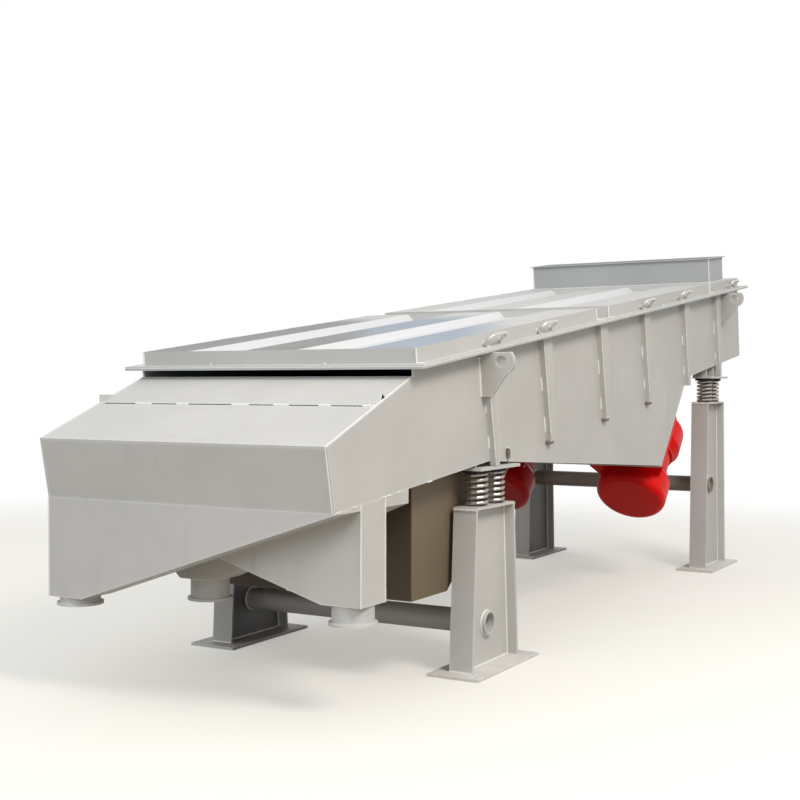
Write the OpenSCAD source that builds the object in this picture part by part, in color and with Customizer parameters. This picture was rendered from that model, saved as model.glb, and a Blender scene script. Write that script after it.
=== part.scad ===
// Inclined linear vibrating screen: a covered screen box on coil springs and four posts,
// with two vibrating motors under it and four discharge spouts at its low end.
// Millimetres, Z up, discharge end toward -Y, origin on the floor under the middle of the box.

/* [Screen box] */
// Width over the outer faces of the two side plates
box_w = 1240; // [1100:10:1400]
// Length of the box along the deck, from the front lid rim to the rear lid rim
deck_len = 4280; // [4000:10:4500]
// Fall of the deck toward the discharge end, in degrees
deck_dip = 7.4; // [6.5:0.1:8.2]
// Height of the lid flange at the discharge end
deck_h = 1197; // [1180:1:1220]
// Depth of the side plates below the lid flange
side_depth = 450; // [430:1:470]
// Thickness of the side plates
side_t = 8; // [6:1:10]
// Thickness of hood, chute and pan sheets
sheet_t = 5; // [4:1:6]
// How far the flange stands out past the lid rims
flange_out = 55; // [40:1:60]
// Thickness of the box flange
box_flange_t = 8; // [6:1:10]
// Thickness of the soft seal under the lids
seal_t = 3; // [2:1:5]

/* [Lids] */
// Height of the lid rims
rim_h = 54; // [45:1:60]
// Depth of the two pressed channels in each lid
channel_depth = 30; // [20:1:34]
// Thickness of the lid sheets
lid_t = 4; // [3:1:5]
// Length of the front lid along its rim
front_lid_len = 1760; // [1600:10:1800]
// Length of the middle lid along its rim
middle_lid_len = 1722; // [1650:2:1760]
// Gap between neighbouring lid flanges
lid_gap = 2; // [1:1:6]
// Width of a lid handle between its feet
handle_w = 140; // [110:5:180]
// Diameter of the handle bar
handle_d = 12; // [10:1:14]

/* [Feed box] */
// Inside width of the feed opening
feed_w = 1152; // [1000:2:1180]
// Inside length of the feed opening along the deck
feed_len = 288; // [240:2:320]
// Height of the feed box above the cover
feed_h = 149; // [120:1:180]
// Width of the lip round the feed box
feed_lip = 20; // [12:1:28]

/* [Posts] */
// Distance from the outer face of a side plate in to the post centres
post_inset = 44; // [30:1:55]
// Distance between the centres of the front and rear posts
post_pitch = 3115; // [3050:5:3180]
// Distance from the front lid rim back to the front posts
post_setback = 644; // [620:1:660]
// Height of the front spring brackets under the pan
front_bracket_h = 58; // [45:1:80]
// Height of the rear spring brackets under the pan
rear_bracket_h = 98; // [60:1:120]
// Width of the post flanges
post_w = 100; // [80:2:120]
// Depth of the posts at the floor
post_foot = 422; // [390:2:440]
// Depth of the posts at the top
post_top = 347; // [330:1:370]
// Thickness of the post plates
post_t = 10; // [8:1:12]
// Width of the base plates
base_w = 222; // [200:2:240]
// Length of the base plates
base_len = 562; // [520:2:600]
// Thickness of the base plates
base_t = 12; // [10:1:16]
// Diameter of the anchor holes
anchor_d = 18; // [14:1:22]
// Outer diameter of the cross tubes
tube_d = 95; // [80:1:110]
// Wall of the cross tubes
tube_t = 6; // [4:1:8]
// Height of the front cross tube
front_tube_z = 172; // [150:1:200]
// Height of the rear cross tube
rear_tube_z = 503; // [470:1:540]

/* [Springs] */
// Outer diameter of a coil spring
spring_d = 96; // [84:1:104]
// Diameter of the spring wire
spring_wire = 15; // [12:1:16]
// Number of turns
spring_turns = 7; // [5:1:8]
// Height of a spring under load
spring_h = 143; // [136:1:156]
// Distance between the two springs on a post
spring_pitch = 150; // [120:2:180]
// Thickness of the spring seats under the box
seat_t = 12; // [10:1:16]

/* [Motors] */
// Angle of the motor axes above the level, in degrees
motor_angle = 47; // [44:1:50]
// Distance between the two motor axes
motor_span = 816; // [800:2:840]
// Diameter of the motor end covers
motor_d = 386; // [360:2:394]
// Length of a motor over its covers
motor_len = 545; // [520:5:600]
// Distance from the motor feet to the motor axis
motor_rise = 198; // [198:1:215]
// Diameter of the motor body between the covers
motor_body_d = 310; // [280:2:330]
// Width of the motor feet
motor_foot_w = 420; // [400:2:424]
// How far the lower motor covers hang past the lower end of the motor seat
motor_overhang = 75; // [60:1:100]

/* [Discharge] */
// Reach of the hood in front of the front lid rim
hood_reach = 568; // [550:1:590]
// Fall of the hood from the lid flange to its front edge
hood_drop = 269; // [250:1:285]
// Height of the hood's front plate, from the crease to the front edge
hood_front_h = 215; // [200:1:230]
// Setback of the crease behind the hood's front edge
crease_setback = 42; // [30:1:55]
// Depth of each of the three front chutes
chute_depth = 158; // [155:1:165]
// Outer diameter of the spout pipes
spout_d = 146; // [130:1:148]
// Outer diameter of the spout flanges
spout_flange_d = 168; // [160:1:180]
// Height of the lower faces of the three front spouts
spout_z = 318; // [300:1:330]

/* [Fines chute] */
// Distance from the outer face of a side plate in to the side of the fines chute
fines_inset = 115; // [105:1:140]
// Distance from the post centres forward to the front wall of the fines chute
fines_setback = 470; // [440:2:500]
// Length of the level floor of the fines chute
fines_floor_len = 280; // [250:2:300]
// Height of the floor of the fines chute
fines_floor_z = 319; // [310:1:340]
// Slope of the rear wall of the fines chute, in degrees
fines_slope = 38; // [35:1:42]
// Height of the lower face of the fines spout
fines_spout_z = 285; // [275:1:295]

/* [Hidden] */
$fn = 64;
steel = "gainsboro";
dark_steel = "dimgray";
// Overrun of a cutting shape past the face that it cuts
cut = 1;

// Levels of the box in the deck frame, square to the deck, down from the lid flange
rim_over = 8;
rim_w = box_w + rim_over;
rear_gap = 20;
box_end = deck_len + rear_gap;
seal_n = -lid_t;
flange_n = seal_n - seal_t;
side_top = flange_n - box_flange_t;
inner_x = box_w / 2 - side_t;
pan_rise = 24;
pan_n = pan_rise - side_depth;
flange_ledge = 50;
flange_end_ledge = 40;
seal_ledge = 30;
seal_end_ledge = 20;
seal_inset = 28;

// Places along Y and heights
rear_reach = box_end * cos(deck_dip) + side_depth * sin(deck_dip);
deck_y = (hood_reach - rear_reach) / 2;
front_y = deck_y + post_setback;
rear_y = front_y + post_pitch;
hood_front_y = deck_y - hood_reach;
hood_front_z = deck_h - hood_drop;
crease_y = hood_front_y + crease_setback;
crease_z = hood_front_z - hood_front_h;
post_span = box_w - 2 * post_inset;
half_span = post_span / 2;

// Point of the deck frame, s along the deck and n square to it, as [y, z]
function deck_point(s, n) = [
    deck_y + s * cos(deck_dip) - n * sin(deck_dip),
    deck_h + s * sin(deck_dip) + n * cos(deck_dip)
];
// Place along the deck of a level y at a distance n from the lid flange
function deck_s(y, n) = (y - deck_y + n * sin(deck_dip)) / cos(deck_dip);
// Height over a place on the floor of the plane at a distance n from the lid flange
function deck_z(y, n) = deck_h + ((y - deck_y) * sin(deck_dip) + n) / cos(deck_dip);
// Height of the pan's underside over a place on the floor
function pan_low_z(y) = deck_z(y, pan_n - sheet_t);
// Square of a number
function sq(v) = v * v;

front_seat_z = pan_low_z(front_y) - front_bracket_h;
rear_seat_z = pan_low_z(rear_y) - rear_bracket_h;
front_post_h = front_seat_z - spring_h;
rear_post_h = rear_seat_z - spring_h;

// Puts children in the tilted frame of the deck
module in_deck() {
    translate([0, deck_y, deck_h])
        rotate([deck_dip, 0, 0])
            children();
}

// Plate from an outline in Y and Z, from x on toward +X
module plate_yz(outline, x, t) {
    translate([x, 0, 0])
        rotate([90, 0, 90])
            linear_extrude(t)
                polygon(outline);
}

// Plate from an outline in X and Z, from y on toward +Y
module plate_xz(outline, y, t) {
    translate([0, y + t, 0])
        rotate([90, 0, 0])
            linear_extrude(t)
                polygon(outline);
}

// Box between two corners
module block(a, b) {
    translate(a)
        cube(b - a);
}

// Flat ring in the deck frame, outer and inner given as half width, start and end
module deck_ring(half_w, s0, s1, inner_half_w, inner_s0, inner_s1, n, t) {
    difference() {
        block([-half_w, s0, n], [half_w, s1, n + t]);
        block([-inner_half_w, inner_s0, n - cut], [inner_half_w, inner_s1, n + t + cut]);
    }
}

// All that lies over a plane of the deck frame
module over_deck_plane(n) {
    in_deck()
        block([-box_w, -box_w, n], [box_w, 2 * box_w, n + box_w]);
}

// Base plate with four anchor holes
anchor_edge_x = 30;
anchor_edge_y = 32;

module base_plate(x, y) {
    anchor_x = base_w / 2 - anchor_edge_x;
    anchor_y = base_len / 2 - anchor_edge_y;
    color(steel)
        translate([x, y, 0])
            difference() {
                block([-base_w / 2, -base_len / 2, 0], [base_w / 2, base_len / 2, base_t]);
                for (sx = [-1, 1], sy = [-1, 1])
                    translate([sx * anchor_x, sy * anchor_y, -cut])
                        cylinder(h = base_t + 2 * cut, d = anchor_d);
            }
}

// Tapered post of I section with a top plate and a hole through its web for the cross tube
module post(x, y, h, tube_z) {
    top_z = h - post_t;
    foot = post_foot / 2;
    top = post_top / 2;
    web = [
        [-foot + post_t, base_t], [foot - post_t, base_t],
        [top - post_t, top_z], [-top + post_t, top_z]
    ];
    flange = [[-foot, base_t], [-foot + post_t, base_t], [-top + post_t, top_z], [-top, top_z]];
    color(steel)
        translate([x, y, 0]) {
            difference() {
                plate_yz(web, -post_t / 2, post_t);
                translate([-post_t, 0, tube_z])
                    rotate([0, 90, 0])
                        cylinder(h = 2 * post_t, d = tube_d - 2 * tube_t);
            }
            for (side = [0, 1])
                mirror([0, side, 0])
                    plate_yz(flange, -post_w / 2, post_w);
            block([-post_w / 2, -top, top_z], [post_w / 2, top, h]);
        }
}

// Cross tube between the post webs, with its open ends standing out past them
tube_stub = 18;

module cross_tube(y, z) {
    web_in = half_span - post_t / 2;
    web_out = half_span + post_t / 2;
    stub_out = web_out + tube_stub;
    color(dark_steel)
        translate([0, y, z])
            rotate([0, 90, 0])
                for (part = [[-web_in, web_in], [web_out, stub_out], [-stub_out, -web_out]])
                    translate([0, 0, part[0]])
                        difference() {
                            cylinder(h = part[1] - part[0], d = tube_d);
                            translate([0, 0, -cut])
                                cylinder(h = part[1] - part[0] + 2 * cut, d = tube_d - 2 * tube_t);
                        }
}

// Coil spring: one closed turn at each end, ground flat, and open turns between
coil_sides = 8;
coil_steps_per_turn = 12;
coil_gap = 0.8;
coil_grind = 0.2;

// Height of the wire's centre after a number of turns, on a spring of height h
function coil_rise(turn, h) =
    let (
        closed = spring_wire + coil_gap,
        open = (h - 2 * closed) / (spring_turns - 2)
    )
    turn < 1 ? closed * turn
    : turn > spring_turns - 1 ? h - closed * (spring_turns - turn)
    : closed + open * (turn - 1);

// One coil spring, standing on the level z = 0
module coil(h) {
    sides = coil_sides;
    steps = spring_turns * coil_steps_per_turn;
    ring_r = (spring_d - spring_wire) / 2;
    wire_r = spring_wire / 2;
    points = [
        for (i = [0 : steps], k = [0 : sides - 1])
            let (
                turn = i / coil_steps_per_turn,
                a = 360 * k / sides,
                r = ring_r + wire_r * cos(a),
                z = coil_rise(turn, h) + wire_r * sin(a),
                crown = coil_grind * sq(cos(a))
            )
            [r * cos(360 * turn), r * sin(360 * turn), min(max(z, crown), h - crown)]
    ];
    side_faces = [
        for (i = [0 : steps - 1], k = [0 : sides - 1])
            let (j = (k + 1) % sides)
            [i * sides + k, i * sides + j, (i + 1) * sides + j, (i + 1) * sides + k]
    ];
    first = [for (k = [sides - 1 : -1 : 0]) k];
    last = [for (k = [0 : sides - 1]) steps * sides + k];
    polyhedron(points, concat([first], side_faces, [last]), convexity = 10);
}

// Pair of coil springs on a post
module springs(x, y, z) {
    color(dark_steel)
        for (dy = [-1, 1])
            translate([x, y + dy * spring_pitch / 2, z])
                coil(spring_h);
}

// Seat on a pair of springs: a level plate, an upright web along it and three cross gussets, all
// standing up to the underside of the pan, on the right side of the box
seat_len = 360;
seat_out = 28;
seat_margin = 10;
gusset_t = 10;
gusset_pitch = 150;
web_inset = 44;

// Outline of an upright plate from a level up to the pan's underside
function up_to_pan(y0, y1, z) = [[y0, z], [y1, z], [y1, pan_low_z(y1)], [y0, pan_low_z(y0)]];

module spring_bracket(side, y, z) {
    half = seat_len / 2;
    web_x = half_span - web_inset;
    low = z + seat_t;
    color(steel)
        mirror([side, 0, 0]) {
            block([web_x, y - half, z], [box_w / 2 + seat_out, y + half, low]);
            plate_yz(up_to_pan(y - half + seat_margin, y + half - seat_margin, low), web_x, gusset_t);
            for (gusset_y = [y - gusset_pitch, y, y + gusset_pitch])
                plate_yz(
                    up_to_pan(gusset_y - gusset_t / 2, gusset_y + gusset_t / 2, low),
                    web_x + gusset_t, inner_x - web_x - gusset_t
                );
        }
}

// Side plates: the outline takes in the hood's side and a deep middle that carries the motor seat
hood_neck_s = -20;
hood_neck_n = -44;
ext_front_s = 540;
ext_low_s = 2621;
ext_depth = 861;
ext_rear_s = ext_low_s + (ext_depth - side_depth) / tan(motor_angle - deck_dip);
ext_corner = deck_point(ext_low_s, -ext_depth);
hood_a = deck_point(hood_neck_s, hood_neck_n);
hood_b = [hood_front_y, hood_front_z];
seam_reach = 266;
hood_dir = (hood_b - hood_a) / norm(hood_b - hood_a);
hood_seam = hood_a + hood_dir * seam_reach;
edge_a = [crease_y, crease_z];
edge_b = deck_point(ext_front_s, -side_depth);
edge_angle = atan2(edge_b[1] - edge_a[1], edge_b[0] - edge_a[0]);
side_outline = [
    deck_point(hood_neck_s, side_top), hood_a, hood_b, edge_a, edge_b, ext_corner,
    deck_point(ext_rear_s, -side_depth), deck_point(box_end, -side_depth), deck_point(box_end, side_top)
];

module side_plate(side) {
    color(steel)
        mirror([side, 0, 0])
            plate_yz(side_outline, inner_x, side_t);
}

// Left side plate, with a small upright ear on its edge beside the hood's seam
ear_len = 76;
ear_h = 32;

module side_plate_left() {
    fall = (hood_a[1] - hood_b[1]) / (hood_a[0] - hood_b[0]);
    color(steel) {
        side_plate(1);
        plate_yz(
            [hood_seam, hood_seam + [0, ear_h], hood_seam + [ear_len, ear_len * fall]],
            -box_w / 2, side_t
        );
    }
}

// Upright bars on the outside of a side plate, narrower toward their lower ends; the first and the last end
// just over the spring seats, the others run on below the plate's edge, and a tab stands behind the first
stiff_top_w = 94;
stiff_low_w = 34;
stiff_t = 26;
stiff_gap = 6;
stiff_clear = 2;
stiff_s = [564, 1119, 1797, 2432, 3120, 3760];
stiff_below = [18, 25, 37, 40];
tab_s = 706;
tab_t = 8;
tab_out = 16;
tab_h = 54;
tab_top = 422;

// Level in the deck frame just over a spring seat at the lower end of a bar
function over_seat(seat_z, s) =
    (seat_z + seat_t + stiff_clear - deck_h - (s - stiff_low_w / 2) * sin(deck_dip)) / cos(deck_dip);

stiff_low = concat(
    [over_seat(front_seat_z, stiff_s[0])],
    [for (below = stiff_below) -side_depth - below],
    [over_seat(rear_seat_z, stiff_s[5])]
);

module stiffeners(side) {
    top = side_top - stiff_gap;
    color(steel)
        mirror([side, 0, 0])
            in_deck() {
                for (k = [0 : len(stiff_s) - 1])
                    plate_yz(
                        [
                            [stiff_s[k] - stiff_top_w / 2, top], [stiff_s[k] - stiff_low_w / 2, stiff_low[k]],
                            [stiff_s[k] + stiff_low_w / 2, stiff_low[k]], [stiff_s[k] + stiff_top_w / 2, top]
                        ],
                        box_w / 2, stiff_t
                    );
                block([box_w / 2, tab_s, -tab_top - tab_h], [box_w / 2 + tab_out, tab_s + tab_t, -tab_top]);
            }
}

// Lifting lug, a rounded plate square to the side plate with a flat top and a hole for a shackle
lug_t = 18;
lug_out = 146;
lug_h = 171;
lug_gap = 3;
lug_foot = 45;
lug_hole_d = 46;
lug_hole_x = 94;
lug_hole_drop = 52;
lug_r = 53;
lug_shoulder = 8;
lug_s = [499, 3866];

module lug() {
    x0 = box_w / 2;
    top = side_top - lug_gap;
    translate([0, lug_t, 0])
        rotate([90, 0, 0])
            difference() {
                union() {
                    linear_extrude(lug_t)
                        polygon([
                            [x0, top - lug_h], [x0 + lug_foot, top - lug_h],
                            [x0 + lug_out, -lug_hole_drop - lug_shoulder], [x0 + lug_hole_x, top], [x0, top]
                        ]);
                    translate([x0 + lug_hole_x, -lug_hole_drop, 0])
                        cylinder(h = lug_t, r = lug_r);
                }
                translate([x0 + lug_hole_x, -lug_hole_drop, -cut])
                    cylinder(h = lug_t + 2 * cut, d = lug_hole_d);
                block([x0, top, -cut], [x0 + 2 * lug_out, top + lug_r, lug_t + cut]);
            }
}

module lifting_lugs() {
    color(steel)
        for (side = [0, 1], s = lug_s)
            mirror([side, 0, 0])
                in_deck()
                    translate([0, s, 0])
                        lug();
}

module rear_wall() {
    color(steel)
        in_deck()
            block([-inner_x, box_end - sheet_t, -side_depth], [inner_x, box_end, side_top]);
}

// Chutes: places of the three front chutes and of the fines chute behind them
chute_half = box_w / 2;
chute_floor_len = 158;
chute_1_y = crease_y;
chute_2_y = chute_1_y + chute_depth;
chute_3_y = chute_2_y + chute_depth;
chute_end_y = chute_3_y + chute_depth;
chute_floor_z = [350, 388, 400, fines_floor_z];
chute_3_x = -190;
spout_x = [chute_floor_len / 2 - chute_half, chute_half - chute_floor_len / 2, chute_3_x, 0];
fines_half = box_w / 2 - fines_inset;
fines_y = front_y - fines_setback;
fines_bend_y = fines_y + fines_floor_len;
// Where the sloping rear wall of the fines chute meets the pan's underside
fines_top_y = (pan_low_z(0) - fines_floor_z + fines_bend_y * tan(fines_slope))
    / (tan(fines_slope) - tan(deck_dip));
spout_y = [
    chute_1_y + chute_depth / 2, chute_2_y + chute_depth / 2, chute_3_y + chute_depth / 2,
    fines_y + fines_floor_len / 2
];
spout_low_z = [spout_z, spout_z, spout_z, fines_spout_z];

// Bottom sheet that carries the fines down to the opening over the fines chute
pan_lip = 12;

module under_pan() {
    color(steel)
        in_deck()
            difference() {
                block(
                    [-inner_x, deck_s(chute_end_y, pan_n), pan_n - sheet_t],
                    [inner_x, box_end - sheet_t, pan_n]
                );
                block(
                    [pan_lip - fines_half, deck_s(fines_y + pan_lip, pan_n), pan_n - sheet_t - cut],
                    [fines_half - pan_lip, deck_s(fines_top_y - 2 * pan_lip, pan_n), pan_n + cut]
                );
            }
}

// Three screen decks, one above the other, each ending over the rear wall of its own chute: wire cloth on
// side rails and cross bars
deck_drop = [150, 245, 340];
deck_t = 6;
deck_nose = 10;
rail_w = 40;
rail_h = 34;
deck_bar_w = 30;
deck_bars = 8;

module screen_deck(k) {
    s0 = deck_s([chute_2_y, chute_3_y, chute_end_y][k] - sheet_t - deck_nose, -deck_drop[k]);
    s1 = box_end - sheet_t;
    low = -deck_drop[k] - deck_t;
    rail_s0 = s0 + 2 * (deck_nose + sheet_t);
    in_deck() {
        block([-inner_x, s0, low], [inner_x, s1, low + deck_t]);
        for (side = [0, 1])
            mirror([side, 0, 0])
                block([inner_x - rail_w, rail_s0, low - rail_h], [inner_x, s1, low]);
        for (k = [0 : deck_bars - 1])
            let (s = rail_s0 + k * (s1 - rail_s0 - deck_bar_w) / (deck_bars - 1))
            block([rail_w - inner_x, s, low - rail_h], [inner_x - rail_w, s + deck_bar_w, low]);
    }
}

module screen_decks() {
    color(dark_steel)
        for (k = [0 : len(deck_drop) - 1])
            screen_deck(k);
}

module box_flange() {
    half = rim_w / 2 + flange_out;
    color(steel)
        in_deck()
            deck_ring(half, -flange_out, deck_len + flange_out,
                inner_x - flange_ledge, flange_end_ledge, deck_len - flange_end_ledge,
                side_top, box_flange_t);
}

module lid_seal() {
    out = flange_out - seal_inset;
    color("black")
        in_deck()
            deck_ring(rim_w / 2 + out, -out, deck_len + out,
                inner_x - seal_ledge, seal_end_ledge, deck_len - seal_end_ledge,
                flange_n, seal_t);
}

// Lids: their flanges where they meet, widths of their lands, and where each starts
joint_flange = 154;
joint_edge = 4;
land_w = 231;
middle_land_w = 237;
middle_s = front_lid_len + joint_flange + lid_gap + joint_edge;
inlet_s = middle_s + middle_lid_len + joint_edge + lid_gap + joint_edge;
channel_out = rim_w / 2 - land_w;
channel_in = middle_land_w / 2;
channel_slope = channel_depth;

// Rim and flange of a lid, with how far the flange stands out at its front and rear ends
module lid_frame(s0, s1, front, rear) {
    half = rim_w / 2;
    deck_ring(half + flange_out, s0 - front, s1 + rear, half - lid_t, s0 + lid_t, s1 - lid_t, -lid_t, lid_t);
    for (s = [s0, s1 - lid_t])
        block([-half, s, 0], [half, s + lid_t, rim_h]);
}

// Pressed lid: three lands at the height of the rim with two channels between them
module pressed_lid(s0, s1, front, rear) {
    half = rim_w / 2;
    low = rim_h - channel_depth;
    right_top = [
        [channel_in, rim_h], [channel_in + channel_slope, low],
        [channel_out - channel_slope, low], [channel_out, rim_h], [half, rim_h]
    ];
    left_top = [for (k = [4 : -1 : 0]) [-right_top[k][0], right_top[k][1]]];
    top = concat(left_top, right_top);
    under = [
        for (k = [9 : -1 : 0])
            [min(max(top[k][0], -half + lid_t), half - lid_t), top[k][1] - lid_t]
    ];
    outline = concat([[-half, 0]], top, [[half, 0], [half - lid_t, 0]], under, [[-half + lid_t, 0]]);
    color(steel)
        in_deck() {
            lid_frame(s0, s1, front, rear);
            translate([0, s1, 0])
                rotate([90, 0, 0])
                    linear_extrude(s1 - s0)
                        polygon(outline);
        }
}

module front_lid() {
    pressed_lid(0, front_lid_len, flange_out, joint_flange);
}

module middle_lid() {
    pressed_lid(middle_s, middle_s + middle_lid_len, joint_edge, joint_edge);
}

// Flat cover at the high end with the feed opening
feed_wall = 5;
feed_edge = 148;
feed_s = inlet_s + feed_edge;

module inlet_cover() {
    half = rim_w / 2;
    color(steel)
        in_deck() {
            lid_frame(inlet_s, deck_len, joint_edge, flange_out);
            for (side = [0, 1])
                mirror([side, 0, 0])
                    block([half - lid_t, inlet_s, 0], [half, deck_len, rim_h]);
            deck_ring(half, inlet_s, deck_len, feed_w / 2, feed_s, feed_s + feed_len, rim_h - lid_t, lid_t);
        }
}

// Open box round the feed opening, with a lip
module feed_box() {
    half = feed_w / 2;
    wall = feed_wall;
    top = rim_h + feed_h;
    color(steel)
        in_deck() {
            deck_ring(half + wall, feed_s - wall, feed_s + feed_len + wall, half, feed_s, feed_s + feed_len,
                rim_h, feed_h);
            deck_ring(half + feed_lip, feed_s - feed_lip, feed_s + feed_len + feed_lip,
                half + wall, feed_s - wall, feed_s + feed_len + wall, top - wall, wall);
        }
}

// Bent bar handle on a lid rim: two foot pads, two legs leaning out and up, two bends and a grip
handle_s = [607, 1126, 2450, 3085, 4110];
handle_n = 16;
handle_lean = 41;
handle_reach = 44;
handle_bend = 22;
handle_pad = 12;
handle_pad_over = 6;
handle_seat = 4;

module handle(s) {
    half = handle_w / 2;
    bend = handle_bend;
    for (side = [-1, 1])
        translate([rim_w / 2, s + side * half, handle_n])
            rotate([0, 90, 0])
                cylinder(h = handle_pad, d = handle_d + handle_pad_over, $fn = 32);
    translate([rim_w / 2 + handle_pad - handle_seat, s, handle_n])
        rotate([0, -handle_lean, 0])
            rotate([0, 0, 90]) {
                for (side = [0, 1])
                    mirror([side, 0, 0]) {
                        translate([half, 0, 0])
                            rotate([90, 0, 0])
                                cylinder(h = handle_reach - bend, d = handle_d, $fn = 32);
                        translate([half - bend, bend - handle_reach, 0])
                            rotate([0, 0, -90])
                                rotate_extrude(angle = 90, $fn = 32)
                                    translate([bend, 0])
                                        circle(d = handle_d, $fn = 32);
                    }
                translate([bend - half, -handle_reach, 0])
                    rotate([0, 90, 0])
                        cylinder(h = handle_w - 2 * bend, d = handle_d, $fn = 32);
            }
}

module lid_handles() {
    color(steel)
        for (side = [0, 1], s = handle_s)
            mirror([side, 0, 0])
                in_deck()
                    handle(s);
}

// Puts children in the motor frame: Z along the motor axes, Y away from the motor seat, origin on the
// side plate's slanted edge at its lower end
module in_motor_frame() {
    translate([0, ext_corner[0], ext_corner[1]])
        rotate([motor_angle - 90, 0, 0])
            children();
}

// Thick plate across the box behind the slanted edges, which both motors are bolted to
seat_plate_t = 16;

module motor_seat() {
    slant = norm(deck_point(ext_rear_s, -side_depth) - ext_corner);
    color(steel)
        in_motor_frame()
            block([-box_w / 2, 0, 0], [box_w / 2, seat_plate_t, slant]);
}

// Vibrating motor: a round body on spread feet with a deep round cover at each end
cover_len = 150;
cover_cone = 44;
cover_round = 40;
cover_ring = 12;
cover_ring_over = 12;
foot_t = 30;
foot_len = 360;
foot_rib_t = 22;
foot_rib_h = 100;
foot_ribs = 4;

// Half outline of a motor turned about its axis, from its lower end up to its middle
module motor_profile() {
    r = motor_d / 2;
    body_r = motor_body_d / 2;
    neck = cover_len + cover_cone;
    union() {
        square([r - cover_round, cover_len]);
        translate([0, cover_round])
            square([r, cover_len - cover_round]);
        translate([r - cover_round, cover_round])
            circle(r = cover_round);
        polygon([[0, cover_len], [r, cover_len], [body_r + cover_ring_over, neck], [0, neck]]);
        translate([0, neck])
            square([body_r + cover_ring_over, cover_ring]);
        square([body_r, motor_len / 2]);
    }
}

module motor(x) {
    axis_y = seat_plate_t + motor_rise;
    mid = motor_len / 2 - motor_overhang;
    low = mid - foot_len / 2;
    rib_top = seat_plate_t + foot_t + foot_rib_h;
    foot = [
        [-motor_foot_w / 2, seat_plate_t], [motor_foot_w / 2, seat_plate_t],
        [motor_foot_w / 2, seat_plate_t + foot_t], [motor_body_d / 2, rib_top],
        [motor_body_d / 2, axis_y], [-motor_body_d / 2, axis_y],
        [-motor_body_d / 2, rib_top], [-motor_foot_w / 2, seat_plate_t + foot_t]
    ];
    rib_pitch = (foot_len - foot_rib_t) / (foot_ribs - 1);
    color("firebrick")
        in_motor_frame()
            translate([x, 0, 0]) {
                translate([0, axis_y, mid])
                    for (end = [0, 1])
                        mirror([0, 0, end])
                            translate([0, 0, -motor_len / 2])
                                rotate_extrude()
                                    motor_profile();
                for (k = [0 : foot_ribs - 1])
                    translate([0, 0, low + k * rib_pitch])
                        linear_extrude(foot_rib_t)
                            polygon(foot);
                block(
                    [-motor_foot_w / 2, seat_plate_t, low],
                    [motor_foot_w / 2, seat_plate_t + foot_t, low + foot_len]
                );
            }
}

// Hood: two sloping plates with an open seam between them and a front plate down to the crease
seam_gap = 9;
notch_start = 34;
notch_len = 32;
notch_w = 34;
notch_tip = 100;

// Upper plate, with a small three-cornered cut near the right end of the seam
module hood_upper_plate() {
    cut_y = hood_seam[0];
    color(steel)
        difference() {
            plate_yz(
                [hood_a, hood_seam, hood_seam - [0, sheet_t], hood_a - [0, sheet_t]],
                -inner_x, 2 * inner_x
            );
            translate([0, 0, crease_z])
                linear_extrude(deck_h - crease_z)
                    polygon([
                        [inner_x + cut, cut_y + notch_start],
                        [inner_x + cut, cut_y + notch_start + notch_len],
                        [inner_x - notch_w, cut_y + notch_tip]
                    ]);
        }
}

module hood_lower_plate() {
    start = hood_seam + hood_dir * seam_gap;
    color(steel)
        plate_yz(
            [start, hood_b, hood_b + [crease_setback / hood_front_h * sheet_t, -sheet_t], start - [0, sheet_t]],
            -inner_x, 2 * inner_x
        );
}

module hood_front_plate() {
    top = hood_b + [crease_setback / hood_front_h * sheet_t, -sheet_t];
    color(steel)
        plate_yz(
            [top, edge_a, edge_a + [sheet_t, 0], top + [sheet_t, 0]],
            -inner_x, 2 * inner_x
        );
}

// All that lies over the lower edge of the side plates
module over_side_edge() {
    translate([0, edge_a[0], edge_a[1]])
        rotate([edge_angle, 0, 0])
            block([-box_w, -box_w, 0], [box_w, box_w, box_w]);
}

// Outline of a front chute in X and Z that narrows to a level floor, with a margin taken off all round
slope_gap = 4;
slope_top_z = crease_z - slope_gap;
chute_top_z = deck_h;

function chute_outline(k, left_z, right_z, m) = [
    [-chute_half + m, chute_top_z + m], [-chute_half + m, left_z + m],
    [spout_x[k] - chute_floor_len / 2 + m / 2, chute_floor_z[k] + m],
    [spout_x[k] + chute_floor_len / 2 - m / 2, chute_floor_z[k] + m],
    [chute_half - m, right_z + m], [chute_half - m, chute_top_z + m]
];

// Chute of one deck: a shell whose sides rise to left_z and right_z, with a rear wall that goes on up
// between the side plates to the underside of its deck
module chute(k, y, left_z, right_z) {
    wall_y = y + chute_depth - sheet_t;
    color(steel) {
        difference() {
            plate_xz(chute_outline(k, left_z, right_z, 0), y, chute_depth);
            plate_xz(chute_outline(k, left_z, right_z, sheet_t), y + sheet_t, chute_depth - 2 * sheet_t);
            translate([spout_x[k], spout_y[k], chute_floor_z[k] - cut])
                cylinder(h = sheet_t + 2 * cut, d = spout_bore_d);
            over_side_edge();
        }
        difference() {
            block([-inner_x, wall_y, slope_top_z], [inner_x, wall_y + sheet_t, chute_top_z]);
            over_deck_plane(-deck_drop[k] - deck_t);
        }
    }
}

module chute_1() {
    chute(0, chute_1_y, chute_floor_z[0], slope_top_z);
}

module chute_2() {
    chute(1, chute_2_y, slope_top_z, chute_floor_z[1]);
}

module chute_3() {
    chute(2, chute_3_y, slope_top_z, slope_top_z);
}

// Outline of the fines chute in Y and Z, with a margin taken off all round
function fines_outline(m) = [
    [fines_y + m, deck_h + m], [fines_y + m, fines_floor_z + m],
    [fines_bend_y - m * tan(fines_slope / 2), fines_floor_z + m],
    [fines_bend_y - m / sin(fines_slope) + (deck_h + m - fines_floor_z) / tan(fines_slope), deck_h + m]
];

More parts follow.
